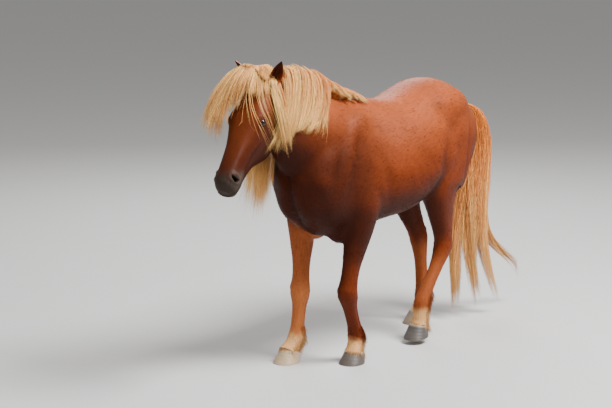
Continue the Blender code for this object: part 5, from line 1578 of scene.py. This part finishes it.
class HORSE_OT_mane(bpy.types.Operator):
    """Grows the mane on both sides of the crest, and the short fringe toward the withers"""

    bl_idname = "horse.mane"
    bl_label = "Mane"

    def execute(self, context):
        s = context.scene.horse_hair
        shade = strand_material()
        # The roots of both sides cross the crest's middle line a little, so no bare line shows from above.
        left = np.array(MANE)
        left[:, 0, 1] = neck_middle(left[:, 0, 0]) + MANE_CROSSING
        right = mirrored(left, np.array(RIGHT_DROP))

        def toward_poll(across):
            return np.where(across < 0.6, 1.0, 0.4)

        for lines, word, density, short in ((left, "left", None, 0.30), (right, "right", toward_poll, 0.16)):
            grow(
                "mane_" + word, s.mane, MANE_LOCKS, lines, HAIR_STATIONS, "mane",
                lambda across: 0.15 + 1.30 * across**2.5, shade, short=short, skew=1.6, wave=0.016, curl=0.13,
                thin=lambda across: 0.80 * np.clip((across - 0.80) / 0.20, 0, 1), density=density,
            )
        low = np.array(FRINGE)
        low[:, 0, 1] = FRINGE_CROSSING
        for side, word in ((1, "left"), (-1, "right")):
            lines = low * np.array([1.0, side, 1.0])
            grow(
                "fringe_" + word, s.mane // 3, FRINGE_LOCKS, lines, FRINGE_STATIONS, "mane",
                lambda across: 2.3, shade, short=0.40, wave=0.012, pull=0.75, flat=0.80,
            )
        return {"FINISHED"}


class HORSE_OT_forelock(bpy.types.Operator):
    """Grows the thick forelock from the poll, parted over the face and hanging down both cheeks"""

    bl_idname = "horse.forelock"
    bl_label = "Forelock"

    def execute(self, context):
        s = context.scene.horse_hair
        shade = strand_material()
        poll, *axes = head_axes()

        def place_at(paths):
            return poll + paths @ np.stack(axes)

        def gold(across):
            return 0.16 + 0.10 * np.sin(across * 9)

        def over_eye(across):
            return 0.984 * np.clip((0.81 - across) / 0.10, 0, 1)

        def over_brow(across):
            return 0.84 * np.clip((across - 0.55) / 0.15, 0, 1) + 0.14 * np.clip((across - 0.74) / 0.08, 0, 1)

        grow(
            "forelock_left", s.forelock, LEFT_FORELOCK_LOCKS, FORELOCK[4:], HAIR_STATIONS, "forelock",
            gold, shade, place_at, thin=over_eye, short=0.26, wave=0.010,
        )
        grow(
            "forelock_right", int(s.forelock * 0.8), RIGHT_FORELOCK_LOCKS, FORELOCK[:5], HAIR_STATIONS,
            "forelock", lambda across: 0.10, shade, place_at, thin=over_brow, short=0.20, stub=(0.36, 0.78),
            wave=0.012,
        )
        return {"FINISHED"}


def tail_row(at):
    """Points of the tail's middle line with its half depth and half width."""
    rows = np.array(TAIL)
    return spline(np.column_stack([np.arange(len(rows)), rows]), np.asarray(at, float).ravel())


class HORSE_OT_tail(bpy.types.Operator):
    """Grows the full tail along the dock, gathering into pointed ends, some of them blown back"""

    bl_idname = "horse.tail"
    bl_label = "Tail"

    def execute(self, context):
        s = context.scene.horse_hair
        shade = strand_material()
        count, groups, stations = s.tail, TAIL_LOCKS, TAIL_STATIONS
        share = np.linspace(0, 1, stations)[None, :]
        gather = 0.94 * share**0.8
        for name, outer in (("tail_hair_inner", False), ("tail_hair_outer", True)):
            rng = np.random.default_rng(SEEDS[name])
            clump = rng.integers(0, groups, count)

            def locks(low, high, clump=clump, rng=rng):
                return rng.uniform(low, high, (groups, 1))[clump]

            centre = rng.uniform(0, TURN, groups)
            spread = np.sqrt(rng.random(groups))
            own_angle = centre[clump] + 0.55 * rng.normal(size=count)
            own_reach = np.clip(spread[clump] + 0.25 * rng.normal(size=count), 0.05, 1.0)
            reach = own_reach[:, None] * (1 - gather) + spread[clump][:, None] * gather
            if outer:
                reach = 0.60 + 0.44 * reach
            start = DOCK_START + DOCK_SPAN * rng.random(count) ** 1.3
            end = 10.0 - 3.0 * rng.random(groups) ** 1.8
            stop = end[clump] - 1.3 * rng.random(count) ** 1.3
            at = start[:, None] + (stop - start)[:, None] * share
            line_x, line_y, line_z, deep, wide = np.moveaxis(tail_row(at).reshape(count, stations, 5), 2, 0)
            grow_out = np.interp(share, [0, 0.12, 0.4, 0.8, 1.0], [0.35, 0.85, 0.95, 0.92, 0.80]) * reach
            phase, rate = locks(0, PHASE), locks(1.5, 4.0)
            turn = own_angle[:, None] * (1 - gather) + centre[clump][:, None] * gather
            turn = turn + 0.20 * share * np.sin(phase + rate * share * 3)
            x = line_x + deep * grow_out * np.cos(turn)
            y = line_y + wide * grow_out * np.sin(turn)
            # Lower down the locks draw together into a few long points, and one of these is blown backward.
            apart = np.abs((centre[:, None] - POINT_TURN[None, :] + math.pi) % TURN - math.pi)
            lump = np.argmin(apart + 0.35 * rng.normal(size=apart.shape), axis=1)[clump]
            draw = 0.80 * np.clip((at - 5.2) / 4.8, 0, 1) ** 1.1
            x = x * (1 - draw) + (line_x + deep * (POINT_REACH * np.cos(POINT_TURN))[lump][:, None]) * draw
            y = y * (1 - draw) + (line_y + wide * (POINT_REACH * np.sin(POINT_TURN))[lump][:, None]) * draw
            blown = (lump == 0)[:, None] * np.clip((at - 6.6) / 3.4, 0, 1) ** 1.5
            x = x + blown * (0.22 + 0.14 * rng.random((groups, 1))[clump])
            z = line_z + blown * (0.05 + 0.14 * rng.random((groups, 1))[clump])
            x = x + 0.006 * share * np.sin(rng.uniform(0, PHASE, (count, 1)) + 14 * share)
            y = y + 0.006 * share * np.sin(rng.uniform(0, PHASE, (count, 1)) + 11 * share)
            paths = above_floor(np.stack([np.minimum(x, TAIL_BACK), y, z], -1), HAIR_FLOOR)
            facing = np.stack([np.cos(turn), np.sin(turn), 0 * turn], -1)
            gold = np.clip(1.80 - 0.15 * (start - DOCK_START), 0.5, 1.9) + 0.15 * rng.normal(size=count)
            # Painted shade: the inner half of the tail is darker, and so are some whole locks.
            dark = (0.25 if outer else 0.42) + 0.30 * (rng.random(groups) > 0.82)[clump]
            colour = strand_colour(rng, count, stations, gold, dark)
            width = s.width * rng.uniform(0.8, 1.5, count)
            uv = np.stack([(own_angle / TURN) % 1, (start - DOCK_START) / DOCK_SPAN], 1)
            uv = uv * MAP_SPREAD + MAP_EDGE
            item = strands(name, paths, facing, width, colour, taper_row(stations), uv)
            settle(item, shade, "hair", "tail")
        return {"FINISHED"}


# The short coat


def scatter(rng, count, weight):
    """Random places on the skin, by area and weight: corners of the chosen face mixed with random shares."""
    points, facing, faces = SURFACE["points"], SURFACE["facing"], SURFACE["faces"]
    a, b, c = (points[faces[:, k]] for k in range(3))
    area = np.linalg.norm(np.cross(b - a, c - a), axis=1)
    total = np.cumsum(area * weight(points[faces].mean(1), facing[faces].mean(1)))
    pick = np.searchsorted(total, rng.random(count) * total[-1])
    r, q = np.sqrt(rng.random((count, 1))), rng.random((count, 1))
    shares = np.concatenate([1 - r, r * (1 - q), r * q], 1)
    corner = faces[np.minimum(pick, len(faces) - 1)]
    where = (points[corner] * shares[..., None]).sum(1)
    return where, unit((facing[corner] * shares[..., None]).sum(1))


def lie_way(points, facing):
    """The way the coat lies: back and down on the trunk, down the legs, down and back along the face."""
    legs = step(0.80 - points[:, 2], 0.25)[:, None]
    face = ((points[:, 0] < FACE_X) * step(head_place(points)[0] - 0.02, 0.1))[:, None]
    way = np.array([0.85, 0.0, -0.50]) * (1 - legs) + np.array([0.12, 0.0, -1.0]) * legs
    way = way * (1 - face) + (head_axes()[1] * 0.9 + np.array([0.25, 0, -0.25])) * face
    return unit(way - facing * (way * facing).sum(1)[:, None], TINY)


def unwrap(points):
    """A place on an unwrap of the skin: trunk with neck, each leg and the head as tubes in own boxes."""
    x, y, z = points.T
    u, v, w = head_place(points)
    middle = np.interp(x, [-1.0, -0.7, -0.4, 0.75], [1.38, 1.22, 1.03, 1.10])
    around = (np.arctan2(y, z - middle) / TURN) % 1
    map_u = 0.01 + 0.60 * (x + 1.02) / 1.80
    map_v = 0.01 + 0.56 * around
    is_head = (x < FACE_X) & (u > -0.05)
    head_around = (np.arctan2(w, v + 0.09) / TURN) % 1
    map_u = np.where(is_head, 0.64 + 0.34 * u / 0.62, map_u)
    map_v = np.where(is_head, 0.01 + 0.56 * head_around, map_v)
    for k, joints in enumerate(LEG_JOINTS.values()):
        path = np.array(joints)[::-1]
        ahead, aside = (value - np.interp(z, path[:, 2], path[:, j]) for j, value in enumerate((x, y)))
        on_leg = (z < 0.80) & (np.hypot(ahead, aside) < 0.17) & (np.sign(y) == np.sign(joints[1][1]))
        turn = (np.arctan2(aside, ahead) / TURN) % 1
        map_u = np.where(on_leg, 0.01 + 0.245 * k + 0.225 * turn, map_u)
        map_v = np.where(on_leg, 0.60 + 0.38 * z / 0.80, map_v)
    return np.stack([map_u, map_v], 1)


def tufts(name, rng, where, facing, way, length, width, lift, stations=3):
    """Short pointed tufts: each leaves the skin at its root and bends over to lie along the coat."""
    count = len(where)
    t = np.linspace(0, 1, stations)[None, :, None]
    way = way + rng.normal(0, 0.18, (count, 1)) * np.cross(way, facing)
    path = where[:, None, :] - 0.0010 * facing[:, None, :] + way[:, None, :] * (length[:, None, None] * t)
    path = path + facing[:, None, :] * (lift[:, None, None] * np.sin(t * math.pi * 0.62))
    path = above_floor(path, TUFT_FLOOR)
    colour = coat_colour(where, facing) * (1 + 0.16 * rng.normal(size=(count, 1)))
    normal = np.repeat(facing[:, None, :], stations, 1)
    taper = np.interp(np.linspace(0, 1, stations), [0, 0.4, 1], [0.8, 1.0, 0.10])
    return strands(name, path, normal, width, colour[:, None, :], taper, unwrap(where), "MarkingsWithPaintedLightAndShade")


class HORSE_OT_coat(bpy.types.Operator):
    """Lays short tufts over the skin on every side, and long feather behind the pasterns"""

    bl_idname = "horse.coat"
    bl_label = "Coat"

    def execute(self, context):
        s = context.scene.horse_coat
        shade = painted_material("Coat tufts", "MarkingsWithPaintedLightAndShade", 0.46, 0.08)

        def on_trunk(p, n):
            return (p[:, 2] > 0.60) * (p[:, 0] > -0.88)

        def on_limbs(p, n):
            return np.where(p[:, 0] < -0.80, 2.2, 1.0) * ((p[:, 2] <= 0.62) | (p[:, 0] <= -0.86))

        for name, weight in (("coat_trunk", on_trunk), ("coat_limbs", on_limbs)):
            rng = np.random.default_rng(SEEDS[name])
            where, facing = scatter(rng, s.tufts, weight)
            u, v, _ = head_place(where)
            face = (where[:, 0] < FACE_X) & (u > 0.0)
            # The muzzle, the eyes and the ears stay bare of tufts.
            keep = ~(face & (u > 0.46)) & ~(face & (np.hypot(u - EYE[0], v - EYE[1]) < 0.026))
            keep &= ~(where[:, 2] > POLL[2] + 0.05)
            where, facing, face = where[keep], facing[keep], face[keep]
            count = len(where)
            low = where[:, 2] < 0.55
            length = s.length * rng.uniform(0.6, 1.3, count) * np.where(face, 0.45, np.where(low, 0.75, 1.0))
            belly = (facing[:, 2] < -0.55) & (where[:, 2] > 0.6)
            length = np.where(belly, length * 1.7, length)
            lift = np.where(face, 0.0006, np.where(low, 0.0012, 0.0016)) * rng.uniform(0.5, 1.6, count)
            width = np.where(face, 0.0014, 0.0026) * rng.uniform(0.7, 1.3, count)
            item = tufts(name, rng, where, facing, lie_way(where, facing), length, width, lift)
            settle(item, shade, "coat")
        self.feather(context, shade)
        return {"FINISHED"}

    def feather(self, context, shade):
        """Long hair behind each fetlock and round each coronet, hanging over the hoof."""
        s = context.scene.horse_coat
        where, facing, way, length, lift = [], [], [], [], []
        rng = np.random.default_rng(SEEDS["feather"])
        for leg_name, *_ in HOOVES:
            joint, coronet = np.array(LEG_JOINTS[leg_name][3]), coronet_of(leg_name)

            def near(p, n, joint=joint, coronet=coronet):
                bone = joint - coronet
                t = np.clip(((p - coronet) @ bone) / (bone @ bone), 0, 1.35)
                close = np.linalg.norm(p - (coronet + t[:, None] * bone), axis=1) < 0.085
                low = step(coronet[2] + 0.035 - p[:, 2], 0.02)
                back = np.clip(0.30 + n[:, 0], 0.05, 1.2) * (1 - low)
                back = back + np.clip(0.60 + n[:, 0], 0.42, 1.4) * low
                return close * (p[:, 2] < joint[2] + 0.05) * back

            spot, normal = scatter(rng, s.feather * 2, near)
            where.append(spot)
            facing.append(normal)
            down = coronet - joint
            down = down / np.linalg.norm(down) * 0.35 + np.array([0.0, 0.0, -0.8])
            lie = down + 0.42 * normal * rng.uniform(0.3, 1.2, (len(spot), 1))
            way.append(unit(lie + 0.10 * rng.normal(size=spot.shape)))
            behind = np.clip(normal[:, 0], 0, 1)
            low = step(coronet[2] + 0.035 - spot[:, 2], 0.02)
            length.append((0.012 + 0.016 * low + 0.044 * behind) * rng.uniform(0.6, 1.25, len(spot)))
            lift.append(0.002 + 0.004 * behind)
        where, facing, way = np.vstack(where), np.vstack(facing), np.vstack(way)
        length, lift = np.concatenate(length), np.concatenate(lift)
        width = 0.0030 * rng.uniform(0.7, 1.3, len(where))
        length = np.minimum(length, (where[:, 2] - TUFT_FLOOR) / np.maximum(-way[:, 2], 0.2))
        item = tufts("feather", rng, where, facing, way, length, width, lift, stations=4)
        settle(item, shade, "coat")


# The stage


def aim(item, where, ahead):
    """Places a lamp or camera and turns it to look along a vector."""
    item.location = where
    item.rotation_euler = ahead.to_track_quat("-Z", "Y").to_euler()
    return item


class HORSE_OT_stage(bpy.types.Operator):
    """Sets the pale floor, soft studio light and the camera"""

    bl_idname = "horse.stage"
    bl_label = "Stage"

    def execute(self, context):
        s = context.scene.horse_stage
        floor = place("floor", [(-60, -60, 0), (60, -60, 0), (60, 60, 0), (-60, 60, 0)], [(0, 1, 2, 3)])
        made, _, shader = new_material("Studio floor", 0.9, 0.1)
        shader.inputs["Base Color"].default_value = (*s.floor, 1.0)
        floor.data.materials.append(made)
        world = bpy.data.worlds.new("Studio")
        world.use_nodes = True
        background = world.node_tree.nodes["Background"]
        background.inputs["Color"].default_value = WORLD_COLOUR
        background.inputs["Strength"].default_value = WORLD_STRENGTH
        context.scene.world = world
        for name, where, target, size, power in LAMPS:
            lamp = with_values(bpy.data.lights.new(name, "AREA"), {"size": size, "energy": power})
            aim(linked(name, lamp), where, Vector(target) - Vector(where))
        camera = with_values(bpy.data.cameras.new("camera"), {"lens": s.lens, "sensor_width": 36.0})
        yaw, pitch = math.radians(CAMERA_YAW), math.radians(CAMERA_PITCH)
        level = math.cos(pitch)
        ahead = Vector((math.cos(yaw) * level, math.sin(yaw) * level, -math.sin(pitch)))
        context.scene.camera = aim(linked("camera", camera), CAMERA_AT + SHIFT, ahead)
        return {"FINISHED"}


class HORSE_PT_panel(bpy.types.Panel):
    """Buttons for each step and the values a user may change"""

    bl_label = "Icelandic Horse"
    bl_idname = "HORSE_PT_panel"
    bl_space_type = "VIEW_3D"
    bl_region_type = "UI"
    bl_category = "Horse"

    def draw(self, context):
        for name in ORDER:
            self.layout.operator("horse." + name)
        for group in SETTINGS:
            settings = getattr(context.scene, group)
            box = self.layout.box()
            for field in settings.__annotations__:
                box.prop(settings, field)


ORDER = ("skin", "eyes", "hooves", "mane", "forelock", "tail", "coat", "stage")
SETTINGS = {
    "horse_skin": HorseSkinSettings,
    "horse_hair": HorseHairSettings,
    "horse_coat": HorseCoatSettings,
    "horse_stage": HorseStageSettings,
}
CLASSES = (
    *SETTINGS.values(), HORSE_OT_skin, HORSE_OT_eyes, HORSE_OT_hooves, HORSE_OT_mane, HORSE_OT_forelock,
    HORSE_OT_tail, HORSE_OT_coat, HORSE_OT_stage, HORSE_PT_panel,
)


def register():
    """Makes the classes and their settings known."""
    for item in CLASSES:
        bpy.utils.register_class(item)
    for name, group in SETTINGS.items():
        setattr(bpy.types.Scene, name, bpy.props.PointerProperty(type=group))


def unregister():
    """Takes the settings and the classes away again."""
    for name in SETTINGS:
        delattr(bpy.types.Scene, name)
    for item in reversed(CLASSES):
        bpy.utils.unregister_class(item)


def main():
    """Runs every step in order."""
    register()
    for name in ORDER:
        getattr(bpy.ops.horse, name)()


if __name__ == "__main__":
    main()
